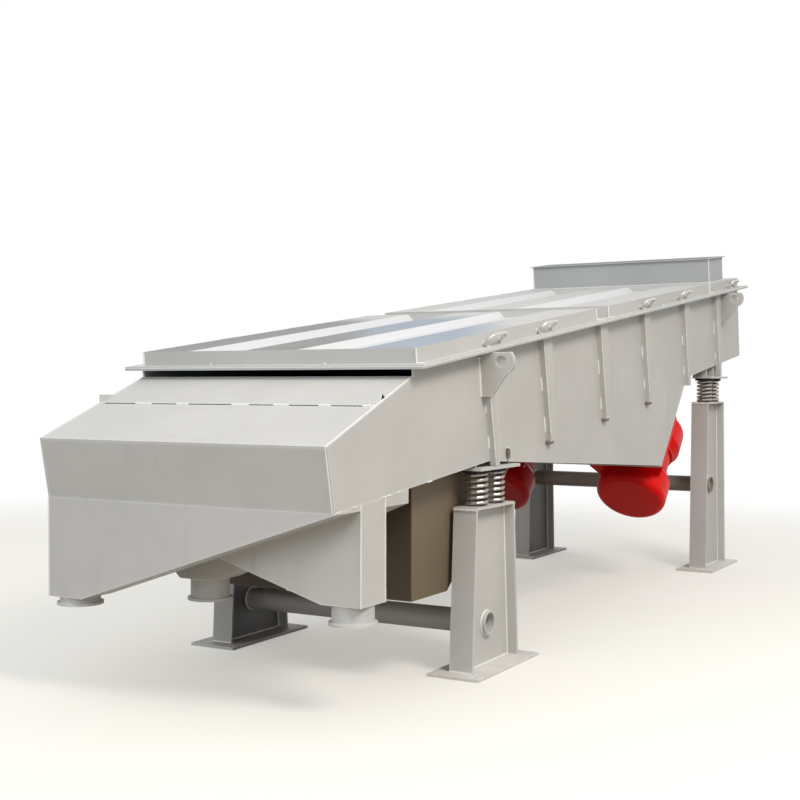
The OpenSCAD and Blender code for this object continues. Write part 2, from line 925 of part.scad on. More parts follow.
// Fines chute under the pan, with a rear wall that slopes down to a level floor
module chute_4() {
    color(steel)
        difference() {
            plate_yz(fines_outline(0), -fines_half, 2 * fines_half);
            plate_yz(fines_outline(sheet_t), sheet_t - fines_half, 2 * (fines_half - sheet_t));
            translate([spout_x[3], spout_y[3], fines_floor_z - cut])
                cylinder(h = sheet_t + 2 * cut, d = spout_bore_d);
            over_deck_plane(pan_n - sheet_t);
        }
}

// Round spout with a flange under a chute
spout_wall = 6;
spout_bore_d = spout_d - 2 * spout_wall;
spout_flange_t = 10;

module spout(k) {
    pipe = chute_floor_z[k] - spout_low_z[k];
    color(steel)
        translate([spout_x[k], spout_y[k], spout_low_z[k]])
            difference() {
                union() {
                    cylinder(h = spout_flange_t, d = spout_flange_d);
                    cylinder(h = pipe, d = spout_d);
                }
                translate([0, 0, -cut])
                    cylinder(h = pipe + 2 * cut, d = spout_bore_d);
            }
}

base_plate(half_span, front_y);  // base_plate_front_right
base_plate(-half_span, front_y);  // base_plate_front_left
base_plate(half_span, rear_y);  // base_plate_rear_right
base_plate(-half_span, rear_y);  // base_plate_rear_left
post(half_span, front_y, front_post_h, front_tube_z);  // post_front_right
post(-half_span, front_y, front_post_h, front_tube_z);  // post_front_left
post(half_span, rear_y, rear_post_h, rear_tube_z);  // post_rear_right
post(-half_span, rear_y, rear_post_h, rear_tube_z);  // post_rear_left
cross_tube(front_y, front_tube_z);  // cross_tube_front
cross_tube(rear_y, rear_tube_z);  // cross_tube_rear
springs(half_span, front_y, front_post_h);  // springs_front_right
springs(-half_span, front_y, front_post_h);  // springs_front_left
springs(half_span, rear_y, rear_post_h);  // springs_rear_right
springs(-half_span, rear_y, rear_post_h);  // springs_rear_left
spring_bracket(0, front_y, front_seat_z);  // spring_bracket_front_right
spring_bracket(1, front_y, front_seat_z);  // spring_bracket_front_left
spring_bracket(0, rear_y, rear_seat_z);  // spring_bracket_rear_right
spring_bracket(1, rear_y, rear_seat_z);  // spring_bracket_rear_left
side_plate(0);  // side_plate_right
side_plate_left();
stiffeners(0);  // stiffeners_right
stiffeners(1);  // stiffeners_left
lifting_lugs();
rear_wall();
under_pan();
screen_decks();
box_flange();
lid_seal();
front_lid();
middle_lid();
inlet_cover();
feed_box();
lid_handles();
motor_seat();
motor(motor_span / 2);  // motor_right
motor(-motor_span / 2);  // motor_left
hood_upper_plate();
hood_lower_plate();
hood_front_plate();
chute_1();
chute_2();
chute_3();
chute_4();
spout(0);  // spout_1
spout(1);  // spout_2
spout(2);  // spout_3
spout(3);  // spout_4
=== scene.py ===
import math
import random

import bmesh
import bpy
from mathutils import Matrix, Vector


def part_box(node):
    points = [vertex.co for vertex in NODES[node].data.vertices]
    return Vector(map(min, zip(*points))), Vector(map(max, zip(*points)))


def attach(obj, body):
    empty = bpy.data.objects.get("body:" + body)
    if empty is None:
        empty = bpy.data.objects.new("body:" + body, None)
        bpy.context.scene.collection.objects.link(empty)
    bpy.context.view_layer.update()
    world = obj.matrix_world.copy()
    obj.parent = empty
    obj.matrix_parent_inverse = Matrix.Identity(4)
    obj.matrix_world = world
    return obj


bl_info = {
    "name": "Vibrating Screen Looks",
    "version": (1, 0, 0),
    "blender": (4, 5, 0),
    "location": "View3D > Sidebar > Screen",
    "description": "Paint, weld beads, fasteners and studio for a covered linear vibrating screen",
    "category": "Object",
}

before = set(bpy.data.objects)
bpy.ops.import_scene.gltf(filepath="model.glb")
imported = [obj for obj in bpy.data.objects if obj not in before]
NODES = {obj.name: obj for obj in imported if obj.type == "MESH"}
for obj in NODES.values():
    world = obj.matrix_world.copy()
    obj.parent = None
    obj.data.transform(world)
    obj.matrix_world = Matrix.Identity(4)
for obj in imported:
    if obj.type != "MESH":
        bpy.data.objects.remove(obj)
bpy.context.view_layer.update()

# Sizes and places of the solids, in metres, that the pieces are set against.
# S runs up along the lids from the front rim, and N square to them from the lids' flange.
DIP = math.radians(7.4)
BOX_W = 1.240
WALL = BOX_W / 2
SIDE_T = 0.008
SIDE_DEPTH = 0.450
SIDE_TOP = -0.015
SIDE_BEND_S = 0.540
BOX_END = 4.300
DECK_LEN = 4.280
DECK_H = 1.197
HOOD_REACH = 0.568
HOOD_DROP = 0.269
HOOD_FRONT_H = 0.215
HOOD_TOP_S = -0.020
HOOD_TOP_N = -0.044
CREASE_SETBACK = 0.042
SEAM_REACH = 0.2705
SEAM_HALF = 0.0045
DECK_Y = (HOOD_REACH - BOX_END * math.cos(DIP) - SIDE_DEPTH * math.sin(DIP)) / 2
RIM_H = 0.054
RIM_HALF = 0.624
FLANGE_OUT = 0.055
LID_ENDS = ((0.0, 1.760), (1.920, 3.642), (3.652, DECK_LEN))
CHANNEL_IN = 0.118
CHANNEL_OUT = 0.394
RAISED_N = (0.012, 0.020)
FEED_HALF = 0.581
FEED_ENDS = (3.795, 4.093)
FEED_WELD_TOP = RIM_H + 0.142
HANDLE_S = (0.607, 1.126, 2.450, 3.085, 4.110)
HANDLE_HALF = 0.070
HANDLE_N = 0.016
STIFF_S = (0.564, 1.119, 1.797, 2.432, 3.120, 3.760)
STIFF_LOW = (-0.470, -0.468, -0.475, -0.487, -0.490, -0.516)
STIFF_TOP_HALF = 0.047
STIFF_LOW_HALF = 0.017
STIFF_TOP = -0.021
STIFF_OUT = 0.026
TAB_S = 0.704
TAB_ENDS = (-0.426, -0.472)
TAB_SHADE = (-0.432, -0.466)
LUG_S = (0.499, 3.866)
LUG_T = 0.018
LUG_LOW = -0.189
POST_TOP_HALF = 0.1735
POST_T = 0.010
TUBE_WELD_X = (0.570, 0.582)
TUBE_WELD_R = 0.0485
SPRING_R = 0.048
CHUTE_DEPTH = 0.158
SPOUT_WELD_R = 0.074
MOTOR_TILT = math.radians(43)
MOTOR_X = 0.408
MOTOR_AXIS = 0.214
MOTOR_LOW = -0.075
MOTOR_LEN = 0.545
MOTOR_R = 0.193
MOTOR_COVER = 0.150
FOOT_TOP = 0.046
SEAT_CORNER_S = 2.621
SEAT_CORNER_N = -0.861
SEAT_WELD_X = (0.604, 0.620)
SEAT_WELD_Z = (0.002, 0.640)

# Places of what the pieces repeat: shares of a bar's length, places across the hood, along the lids
# and along the motors
BAR_STITCHES = ((0.37, 0.53), (0.82, 0.95))
LUG_BAR_STITCHES = ((0.11, 0.22), (0.60, 0.82))
SEAM_STITCHES = (
    (-0.612, -0.589), (-0.434, -0.356), (-0.236, -0.180), (0.016, 0.092), (0.200, 0.264), (0.388, 0.437),
    (0.565, 0.612))
SEAM_SPOTS = ((0.604, 0.016), (0.585, -0.012), (0.548, 0.014), (0.520, -0.010))
LID_BOLT_S = (0.52, 1.03, 2.36, 2.66, 2.99, 4.03)
FRONT_BOLT_X = (-0.26, 0.26)
FOOT_BOLT_X = 0.186
FOOT_BOLT_Z = (0.085, 0.198, 0.310)
COVER_SCREW_DEGREES = range(-30, 211, 60)
CUP_PROFILE = (
    (0.0485, 0.000), (0.0560, 0.000), (0.0560, 0.010), (0.0540, 0.014), (0.0495, 0.014), (0.0485, 0.012))
SIDES = (1, -1)


def deck(x, s, n):
    """Point of the deck frame: x across, s up along the lids, n square to them."""
    return Vector((
        x,
        DECK_Y + s * math.cos(DIP) - n * math.sin(DIP),
        DECK_H + s * math.sin(DIP) + n * math.cos(DIP),
    ))


SEAT_CORNER = deck(0, SEAT_CORNER_S, SEAT_CORNER_N)
HOOD_TOP = deck(0, HOOD_TOP_S, HOOD_TOP_N)
HOOD_FRONT = Vector((0, DECK_Y - HOOD_REACH, DECK_H - HOOD_DROP))
HOOD_WAY = (HOOD_FRONT - HOOD_TOP).normalized()
HOOD_SEAM = HOOD_TOP + HOOD_WAY * SEAM_REACH
CREASE = HOOD_FRONT + Vector((0, CREASE_SETBACK, -HOOD_FRONT_H))
SIDE_BEND = deck(0, SIDE_BEND_S, -SIDE_DEPTH)


def motor_frame(x, y, z):
    """Point of the motor frame: z along the motor axes, y away from the motor seat."""
    return SEAT_CORNER + Vector((
        x,
        y * math.cos(MOTOR_TILT) + z * math.sin(MOTOR_TILT),
        -y * math.sin(MOTOR_TILT) + z * math.cos(MOTOR_TILT),
    ))


MOTOR_AWAY = motor_frame(0, 1, 0) - SEAT_CORNER
DECK_UP = deck(0, 0, 1) - deck(0, 0, 0)
DECK_ALONG = deck(0, 1, 0) - deck(0, 0, 0)
X_WAY = Vector((1, 0, 0))
Y_WAY = Vector((0, 1, 0))
Z_WAY = Vector((0, 0, 1))


def srgb(red, green, blue):
    """Linear colour from the 0 to 255 values that a picture of it has."""
    def linear(v):
        v /= 255
        return v / 12.92 if v <= 0.04045 else ((v + 0.055) / 1.055) ** 2.4
    return linear(red), linear(green), linear(blue)


def colour_prop(name, text, default):
    """Property that holds a colour."""
    return bpy.props.FloatVectorProperty(
        name=name, description=text, subtype="COLOR", size=3, min=0, max=1, default=default)


def length_prop(name, text, default):
    """Property that holds a length."""
    return bpy.props.FloatProperty(
        name=name, description=text, default=default, min=0, unit="LENGTH", subtype="DISTANCE")


class ScreenPaints(bpy.types.PropertyGroup):
    """Colours of the finishes."""
    box: colour_prop("Box grey", "Paint of the box, hood, chutes and posts", srgb(189, 188, 185))
    # Lid grey, Lid blue and Channel white paint a reflection into the lids: grey, cool blue and light
    # across the lands in a slant, and white in the pressed channels.
    lid: colour_prop("Lid grey", "Paint of the lids' lands", srgb(130, 130, 129))
    lid_sky_reflection: colour_prop("Lid blue", "Cool patches on the lids' lands", srgb(143, 154, 166))
    channel: colour_prop("Channel white", "Paint of the pressed channels", srgb(206, 206, 208))
    fines: colour_prop("Fines brown", "Chute that is stained by the fines", srgb(106, 93, 76))
    tube: colour_prop("Tube grey", "Paint of the rear cross tube", srgb(140, 132, 126))
    feed: colour_prop("Feed grey", "Paint of the feed box", srgb(168, 171, 173))
    flange: colour_prop("Flange grey", "Paint of the flange round the box", srgb(172, 178, 180))
    base: colour_prop("Base grey", "Paint of the base plates", srgb(212, 210, 206))
    motor: colour_prop("Motor red", "Paint of the vibrating motors", srgb(222, 12, 6))
    spring: colour_prop("Spring steel", "Bare steel of the coil springs", srgb(172, 164, 159))
    rubber: colour_prop("Seal grey", "Strip between the box and the lids", srgb(120, 120, 122))
    # Cup black is also the colour of the dark sheet of painted shade in the hood's seam.
    cup: colour_prop("Cup black", "Rubber cups at the tops of the springs", srgb(30, 30, 34))
    wire: colour_prop("Wire steel", "Woven wire of the decks", srgb(150, 150, 148))
    # Weld grey is also the colour of the thin light beads along the bars' front arrises and in the flange
    # slot, which are painted highlights.
    weld: colour_prop("Weld grey", "Painted weld beads", srgb(226, 226, 222))
    # The dark weld colour paints the beads below the bars' lower ends, welds darkened as painted shade
    # under the ends, and the dark beads of painted shade on the tabs' front faces.
    burnt: colour_prop("Burnt weld", "Dark welds at the lower ends of the bars", srgb(116, 108, 100))
    bolt: colour_prop("Zinc", "Plated bolts and screws", srgb(214, 214, 210))
    dust: colour_prop("Dust", "Dust that settles on the part", srgb(176, 160, 138))
    # Painted shade: the inner faces of the left posts are darkened toward this colour.
    inner_shade: colour_prop("Soot", "Dark film on the inner faces of the left posts", srgb(54, 55, 60))
    rust: colour_prop("Rust", "Rust at bare edges", srgb(112, 62, 34))


class ScreenWelds(bpy.types.PropertyGroup):
    """Sizes of the weld beads."""
    radius: length_prop("Bead radius", "Half the width of a bead", 0.0042)
    ripple: length_prop("Ripple length", "Distance from one ripple to the next", 0.010)
    depth: bpy.props.FloatProperty(
        name="Ripple depth", description="Swell of a ripple as a share of the radius",
        default=0.18, min=0, max=1, subtype="FACTOR")
    seed: bpy.props.IntProperty(
        name="Seed", description="Seed of the beads' unevenness", default=4, min=0)


class ScreenBolts(bpy.types.PropertyGroup):
    """Sizes of bolts and screws."""
    head: length_prop("Head width", "Across the corners of a bolt head", 0.018)
    height: length_prop("Head height", "Height of a bolt head", 0.008)
    washer: length_prop("Washer", "Outer width of a washer", 0.026)
    seed: bpy.props.IntProperty(
        name="Seed", description="Seed of the turn of each head", default=7, min=0)


class ScreenStudio(bpy.types.PropertyGroup):
    """Camera and light."""
    lens: bpy.props.FloatProperty(
        name="Lens", description="Focal length of the camera in millimetres", default=56.32, min=1,
        subtype="DISTANCE_CAMERA")
    key: bpy.props.FloatProperty(
        name="Key light", description="Power of the soft light at the upper right", default=455,
        min=0, subtype="POWER")
    key_tint: colour_prop("Key colour", "Colour of the key light", (1.0, 0.92, 0.82))
    fill: bpy.props.FloatProperty(
        name="Fill light", description="Power of the weak light from the front", default=170,
        min=0, subtype="POWER")
    horizon: bpy.props.FloatProperty(
        name="Horizon", description="Strength of the soft light from all round", default=0.50, min=0)
    zenith: bpy.props.FloatProperty(
        name="Zenith", description="Strength that the soft light gains overhead", default=0.52, min=0)
    sky_tint: colour_prop("Sky colour", "Colour of the soft light", (0.92, 0.96, 1.0))
    floor: length_prop("Floor", "Half the width of the floor", 30.0)


class Value:
    """A socket of a node tree. Arithmetic on it adds Math nodes."""

    def __init__(self, tree, socket):
        self.tree = tree
        self.socket = socket

    def maths(self, operation, first, second=0.0):
        return self.tree.add(self.tree.math, {"operation": operation}, {0: first, 1: second})

    def __add__(self, other):
        return self.maths("ADD", self, other)

    def __radd__(self, other):
        return self.maths("ADD", other, self)

    def __sub__(self, other):
        return self.maths("SUBTRACT", self, other)

    def __rsub__(self, other):
        return self.maths("SUBTRACT", other, self)

    def __mul__(self, other):
        return self.maths("MULTIPLY", self, other)

    def __rmul__(self, other):
        return self.maths("MULTIPLY", other, self)

    def __truediv__(self, other):
        return self.maths("DIVIDE", self, other)

    def __abs__(self):
        return self.maths("ABSOLUTE", self)

    def sine(self):
        return self.maths("SINE", self)

    def smooth(self, low, high):
        """0 below low, 1 above high and a smooth step between; low may lie above high."""
        if low > high:
            return 1 - self.smooth(high, low)
        return self.tree.add(
            self.tree.map_range, {"interpolation_type": "SMOOTHSTEP"}, {0: self, 1: low, 2: high})


class Tree:
    """Adds nodes to a node tree."""
    math = "ShaderNodeMath"
    map_range = "ShaderNodeMapRange"

    def __init__(self, tree):
        self.tree = tree

    def add(self, kind, settings=None, sockets=None, output=0):
        """A node of a kind, with its settings, then its sockets' values or links."""
        made = self.tree.nodes.new(kind)
        for name, value in (settings or {}).items():
            setattr(made, name, value)
        for key, value in (sockets or {}).items():
            if isinstance(value, Value):
                self.tree.links.new(value.socket, made.inputs[key])
            else:
                made.inputs[key].default_value = value
        return Value(self, made.outputs[output]) if made.outputs else made

    def seen(self):
        """1 for rays that show a thing to the camera, in a mirror or through glass, and 0 for light."""
        camera, glossy, through = (
            self.add("ShaderNodeLightPath", output=f"Is {kind} Ray")
            for kind in ("Camera", "Glossy", "Transmission"))
        return camera.maths("MINIMUM", camera + glossy + through, 1.0)


class Finish(Tree):
    """A material's nodes, with the patterns that the finishes share."""

    def __init__(self, name):
        self.material = bpy.data.materials.new(name)
        self.material.use_nodes = True
        super().__init__(self.material.node_tree)
        self.shader = self.tree.nodes["Principled BSDF"]
        self.place = self.add("ShaderNodeTexCoord", output="Object")

    def axis(self, name, source=None):
        """One of X, Y and Z of a direction, or of the place on the piece."""
        return self.add("ShaderNodeSeparateXYZ", None, {0: source or self.place}, name)

    def noise(self, scale, detail=3.0, rough=0.55, stretch=None):
        """Noise over the piece, finer along an axis that the stretch makes larger."""
        place = self.place
        if stretch:
            place = self.add("ShaderNodeVectorMath", {"operation": "MULTIPLY"}, {0: place, 1: stretch})
        return self.add("ShaderNodeTexNoise", None,
                        {"Vector": place, "Scale": scale, "Detail": detail, "Roughness": rough})

    def facing(self):
        """Direction that a face points in."""
        return self.add("ShaderNodeNewGeometry", output="Normal")

    def edge(self, radius):
        """1 on a sharp edge, falling to 0 a radius away."""
        soft = self.add("ShaderNodeBevel", {"samples": 4}, {"Radius": radius})
        along = self.add("ShaderNodeVectorMath", {"operation": "DOT_PRODUCT"},
                         {0: soft, 1: self.facing()}, "Value")
        return (1 - along).smooth(0.02, 0.2)

    def mix(self, share, first, second):
        """Colour between two colours."""
        def full(colour):
            return colour if isinstance(colour, Value) else (*colour, 1.0)
        return self.add("ShaderNodeMix", {"data_type": "RGBA"},
                        {0: share, 6: full(first), 7: full(second)}, 2)

    def bump(self, height, strength, distance):
        """Normal that a height gives the surface."""
        return self.add("ShaderNodeBump", None,
                        {"Height": height, "Strength": strength, "Distance": distance})

    def put(self, **sockets):
        """Sets the shader's sockets, with spaces written as underscores."""
        for name, value in sockets.items():
            socket = self.shader.inputs[name.replace("_", " ")]
            if isinstance(value, Value):
                self.tree.links.new(value.socket, socket)
            else:
                socket.default_value = value
        return self.material


def darker(colour, share):
    """A share of a colour's light; over 1 it is lighter."""
    return tuple(v * share for v in colour)


def machine_paint(name, colour, paints, rough=0.5, wear=0.3, splash_and_shade=0.0, front=1.0):
    """Satin machine paint on plate: mottled coat, run-down grime, dust on top, painted highlights on the
    edges and rust on worn edges.

    A splash above 0 adds dirt near the floor, painted shade on the faces that look inward on the left side,
    and darkens the upward faces on the left side toward dark brown.
    A front below 1 darkens the faces toward the discharge end as painted shade and turns the upper part
    toward a lighter tan.
    """
    paint = Finish(name)
    mottle = paint.noise(1.6, 5.0, 0.6)
    cloud = paint.noise(9.0, 4.0, 0.6)
    streak = paint.noise(1.0, 4.0, 0.62, (15.0, 15.0, 1.1))
    grain = paint.noise(260.0, 2.0, 0.5)
    speck = paint.noise(75.0, 3.0, 0.7)
    facing = paint.facing()
    up = paint.axis("Z", facing)
    height = paint.axis("Z")
    shade = paint.mix(mottle.smooth(0.3, 0.72), darker(colour, 0.94), darker(colour, 1.05))
    if front < 1.0:
        # Upper part turned toward a lighter tan.
        shade = paint.mix(height.smooth(0.4, 0.9) * 0.45, shade, darker(paints.dust, 0.75))
        # Painted shade: faces that look toward the discharge end darkened by the front share.
        ahead = paint.axis("Y", facing).smooth(-0.3, -0.8)
        shade = paint.mix(ahead, shade, darker(colour, front))
    upright = 1 - abs(up).smooth(0.3, 0.8)
    grime = streak.smooth(0.58, 0.8) * upright * 0.16 + cloud.smooth(0.6, 0.82) * 0.07
    shade = paint.mix(grime, shade, darker(paints.dust, 0.62))
    dust = up.smooth(0.25, 0.9) * (cloud * 0.55 + mottle * 0.45).smooth(0.42, 0.74)
    shade = paint.mix(dust * 0.12, shade, paints.dust)
    if splash_and_shade:
        # Painted shade: faces that look inward on the left side darkened.
        inner = paint.axis("X", facing).smooth(0.3, 0.8) * paint.axis("X").smooth(0.1, -0.3)
        shade = paint.mix(inner * 0.8, shade, paints.inner_shade)
        # Upward faces on the left side darkened toward dark brown.
        film = up.smooth(0.5, 0.9) * paint.axis("X").smooth(0.3, -0.4)
        shade = paint.mix(film * 0.6, shade, darker(paints.dust, 0.5))
        dirt = height.smooth(0.16, 0.0) * (cloud * 0.6 + speck * 0.4).smooth(0.36, 0.66)
        shade = paint.mix(dirt * splash_and_shade, shade, darker(paints.dust, 0.72))
    # Painted highlight: edges lightened to 1.25 times the paint colour; the same edge mask puts rust on
    # worn edges.
    edge = paint.edge(0.012)
    shade = paint.mix(edge * 0.9, shade, darker(colour, 1.25))
    worn = edge * (speck * 0.6 + cloud * 0.4).smooth(0.56, 0.7)
    shade = paint.mix(worn * wear, shade, paints.rust)
    coat = grain * 0.35 + cloud * 0.4 + mottle * 1.2
    return paint.put(
        Base_Color=shade,
        Roughness=rough - 0.05 + mottle * 0.10 + dust * 0.22 + worn * 0.2,
        Specular_IOR_Level=0.35,
        Normal=paint.bump(coat, 0.2, 0.004))


def lid_paint(paints):
    """Paint of the lids: box grey on the rims, a painted reflection on the lands in a slant from grey
    through cool blue to light, and a painted white reflection in the pressed channels.
    """
    paint = Finish("lid_paint")
    mottle = paint.noise(1.7, 4.0, 0.6)
    cloud = paint.noise(8.0, 4.0, 0.6)
    grain = paint.noise(240.0, 2.0, 0.5)
    up = paint.axis("Z", paint.facing())
    across = abs(paint.axis("X"))
    reflection_slant = paint.axis("Y") + paint.axis("X") * 1.7 + mottle * 0.4
    rise = paint.axis("Z") * math.cos(DIP) - paint.axis("Y") * math.sin(DIP) - (
        DECK_H * math.cos(DIP) - DECK_Y * math.sin(DIP))
    raised = rise.smooth(*RAISED_N)
    top = up.smooth(0.6, 0.9) * raised
    inside = across.smooth(RIM_HALF - 0.0005, RIM_HALF - 0.0015)
    fade = 0.003
    past_inner = across.smooth(CHANNEL_IN, CHANNEL_IN + fade)
    short_of_outer = across.smooth(CHANNEL_OUT, CHANNEL_OUT - fade)
    channel = past_inner * short_of_outer * up.smooth(0.3, 0.5) * raised
    rim = paint.mix(mottle.smooth(0.3, 0.7), darker(paints.box, 0.96), darker(paints.box, 1.04))
    # Painted reflection on the lands: grey, then cool blue, then light along a slant across the lids.
    land_reflection = paint.mix(reflection_slant.smooth(-1.25, -0.85), paints.lid, paints.lid_sky_reflection)
    back = paint.axis("Y") + mottle * 0.3
    light = reflection_slant.maths("MAXIMUM", reflection_slant.smooth(-0.3, 0.3), back.smooth(-0.5, -0.1))
    land_reflection = paint.mix(light, land_reflection, darker(paints.box, 0.99))
    shade = paint.mix(top * inside, rim, land_reflection)
    # Painted reflection: white in the pressed channels.
    shade = paint.mix(channel * 0.96, shade, paints.channel)
    dust = top * (cloud * 0.6 + mottle * 0.4).smooth(0.5, 0.78)
    shade = paint.mix(dust * 0.06, shade, paints.dust)
    return paint.put(
        Base_Color=shade,
        Roughness=0.46 + mottle * 0.12 + dust * 0.2,
        Specular_IOR_Level=0.2,
        Normal=paint.bump(grain * 0.25 + mottle * 1.4 + cloud * 0.3, 0.14, 0.004))


def motor_paint(paints):
    """Red enamel over cast iron, with a little dust on top and worn edges; the left motor painted darker as
    shade.
    """
    paint = Finish("motor_red")
    mottle = paint.noise(6.0, 4.0, 0.6)
    cast = paint.noise(130.0, 3.0, 0.6)
    speck = paint.noise(60.0, 3.0, 0.7)
    up = paint.axis("Z", paint.facing())
    shade = paint.mix(mottle.smooth(0.3, 0.7), darker(paints.motor, 0.86), darker(paints.motor, 1.06))
    # Painted shade: the left motor darkened toward a fifth of its red.
    shade = paint.mix(paint.axis("X").smooth(0.1, -0.1) * 0.5, shade, darker(paints.motor, 0.2))
    dust = up.smooth(0.2, 0.9) * (mottle * 0.5 + speck * 0.5).smooth(0.46, 0.7)
    shade = paint.mix(dust * 0.03, shade, darker(paints.dust, 0.6))
    worn = paint.edge(0.005) * speck.smooth(0.56, 0.72)
    shade = paint.mix(worn * 0.35, shade, darker(paints.rust, 0.6))
    return paint.put(
        Base_Color=shade,
        Roughness=0.34 + mottle * 0.10 + dust * 0.3,
        Specular_IOR_Level=0.15,
        Normal=paint.bump(cast * 0.7 + mottle * 0.4, 0.16, 0.003))


def spring_finish(paints):
    """Oiled spring steel with brown film."""
    steel = Finish("spring_steel")
    film = steel.noise(38.0, 4.0, 0.6)
    drawn = steel.noise(420.0, 2.0, 0.5)
    shade = steel.mix(film.smooth(0.55, 0.8) * 0.6, paints.spring, darker(paints.rust, 0.7))
    return steel.put(
        Base_Color=shade, Metallic=0.8 - film.smooth(0.5, 0.75) * 0.3,
        Roughness=0.28 + film * 0.2, Normal=steel.bump(drawn, 0.1, 0.001))


def bead_finish(name, colour, paints):
    """Painted-over weld metal with a trace of brown."""
    weld = Finish(name)
    scale = weld.noise(160.0, 3.0, 0.6)
    stain = weld.noise(26.0, 4.0, 0.65)
    shade = weld.mix(stain.smooth(0.62, 0.82) * 0.4, colour, darker(paints.rust, 1.6))
    return weld.put(
        Base_Color=shade, Metallic=0.15, Roughness=0.30 + stain * 0.18,
        Normal=weld.bump(scale, 0.35, 0.002))


def bolt_finish(paints):
    """Zinc-plated steel, dulled in spots."""
    zinc = Finish("zinc_plate")
    spangle = zinc.noise(190.0, 3.0, 0.6)
    dull = zinc.noise(45.0, 4.0, 0.6)
    shade = zinc.mix(dull.smooth(0.5, 0.75), paints.bolt, darker(paints.bolt, 0.62))
    return zinc.put(
        Base_Color=shade, Metallic=0.85, Roughness=0.28 + dull * 0.25,
        Normal=zinc.bump(spangle, 0.12, 0.001))


def rubber_finish(name, colour, paints):
    """Sponge rubber with a dusty edge."""
    rubber = Finish(name)
    pore = rubber.noise(340.0, 3.0, 0.6)
    chalk = rubber.noise(22.0, 4.0, 0.6)
    shade = rubber.mix(chalk.smooth(0.55, 0.8) * 0.4, colour, darker(paints.dust, 0.5))
    return rubber.put(
        Base_Color=shade, Roughness=0.72 + chalk * 0.18, Normal=rubber.bump(pore, 0.4, 0.001))


def wire_finish(paints):
    """Woven wire: crossing wires over holes painted dark as shade, turned with the deck."""
    cloth = Finish("woven_wire")
    turned = cloth.add("ShaderNodeMapping", None, {"Vector": cloth.place, "Rotation": (-DIP, 0.0, 0.0)})
    wire_gap = 0.008
    pitch = 2 * math.pi / wire_gap
    across = (cloth.axis("X", turned) * pitch).sine()
    along = (cloth.axis("Y", turned) * pitch).sine()
    wire_x = across.smooth(0.15, 0.75)
    wire_y = along.smooth(0.15, 0.75)
    wire = wire_x.maths("MAXIMUM", wire_x, wire_y)
    stain = cloth.noise(30.0, 4.0, 0.6)
    metal = cloth.mix(stain.smooth(0.5, 0.8), paints.wire, darker(paints.dust, 0.6))
    # Painted shade: the holes between the wires are dark.
    shade = cloth.mix(wire, srgb(38, 36, 34), metal)
    return cloth.put(
        Base_Color=shade, Metallic=wire * 0.6, Roughness=0.42 + stain * 0.2,
        Normal=cloth.bump(wire, 0.6, 0.003))


def floor_finish(colour, bounce, clear):
    """Pale floor that keeps the shadow near the part and turns white far off; its bounce is weaker."""
    floor = Finish("pale_floor")
    flat = floor.add("ShaderNodeVectorMath", {"operation": "MULTIPLY"},
                     {0: floor.place, 1: (0.8, 1.0, 0.0)})
    away = floor.add("ShaderNodeVectorMath", {"operation": "LENGTH"}, {0: flat}, "Value")
    far = away.smooth(*clear)
    cloud = floor.noise(0.7, 3.0, 0.5)
    seen = floor.seen()
    shade = floor.mix(cloud.smooth(0.3, 0.7), darker(colour, 0.985), colour)
    shade = floor.mix(seen, bounce, shade)
    floor.put(Base_Color=shade, Roughness=0.9, Specular_IOR_Level=0.1)
    white = floor.add("ShaderNodeEmission", None, {
        "Color": floor.mix(far, colour, (1.0, 1.0, 1.0)), "Strength": 1.0})
    out = floor.tree.nodes["Material Output"]
    blend = floor.add("ShaderNodeMixShader", None, {
        0: seen * (0.45 + far * 0.55), 1: Value(floor, floor.shader.outputs[0]), 2: white})
    floor.tree.links.new(blend.socket, out.inputs["Surface"])
    return floor.material


FINISHES = {}


def finishes():
    """The finishes of the part, made once."""
    if not FINISHES:
        paints = bpy.context.scene.screen_paints
        grey = tuple(paints.box)
        FINISHES.update(
            box=machine_paint("box_paint", grey, paints),
            post=machine_paint("post_paint", darker(grey, 1.02), paints, wear=0.4, splash_and_shade=0.25),
            tube=machine_paint("tube_paint", tuple(paints.tube), paints),
            feed=machine_paint("feed_paint", tuple(paints.feed), paints, rough=0.42),
            flange=machine_paint("flange_paint", tuple(paints.flange), paints),
            base=machine_paint(
                "base_paint", tuple(paints.base), paints, rough=0.55, wear=0.35, splash_and_shade=0.12),
            lid=lid_paint(paints),
            motor=motor_paint(paints),
            spring=spring_finish(paints),
            weld=bead_finish("weld_bead", tuple(paints.weld), paints),
            burnt=bead_finish("burnt_weld", tuple(paints.burnt), paints),
            bolt=bolt_finish(paints),
            rubber=rubber_finish("seal_rubber", tuple(paints.rubber), paints),
            cup=rubber_finish("cup_rubber", tuple(paints.cup), paints),
            # Chute 4 and its spout: faces toward the discharge end darkened as painted shade.
            fines=machine_paint(
                "fines_paint", tuple(paints.fines), paints, rough=0.6, splash_and_shade=0.3, front=0.55),
            wire=wire_finish(paints))
    return FINISHES


def keep(mesh, name):
    """Makes a finished mesh a piece of the part."""
    piece = bpy.data.objects.new(name, mesh)
    bpy.context.scene.collection.objects.link(piece)
    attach(piece, "root")
    return piece


def grown(name, source, tree, values):
    """Plain mesh of what a tree of nodes makes from a mesh."""
    holder = bpy.data.objects.new(name, source)
    bpy.context.scene.collection.objects.link(holder)
    modifier = holder.modifiers.new(name, "NODES")
    modifier.node_group = tree
    for socket in tree.interface.items_tree:
        if socket.item_type == "SOCKET" and socket.in_out == "INPUT" and socket.name in values:
            modifier[socket.identifier] = values[socket.name]
    bpy.context.view_layer.update()
    shown = holder.evaluated_get(bpy.context.evaluated_depsgraph_get())
    mesh = bpy.data.meshes.new_from_object(shown)
    mesh.name = name
    holder.modifiers.remove(modifier)
    bpy.data.objects.remove(holder)
    bpy.data.meshes.remove(source)
    if not mesh.polygons:
        raise RuntimeError(f"{name} came out empty")
    return mesh


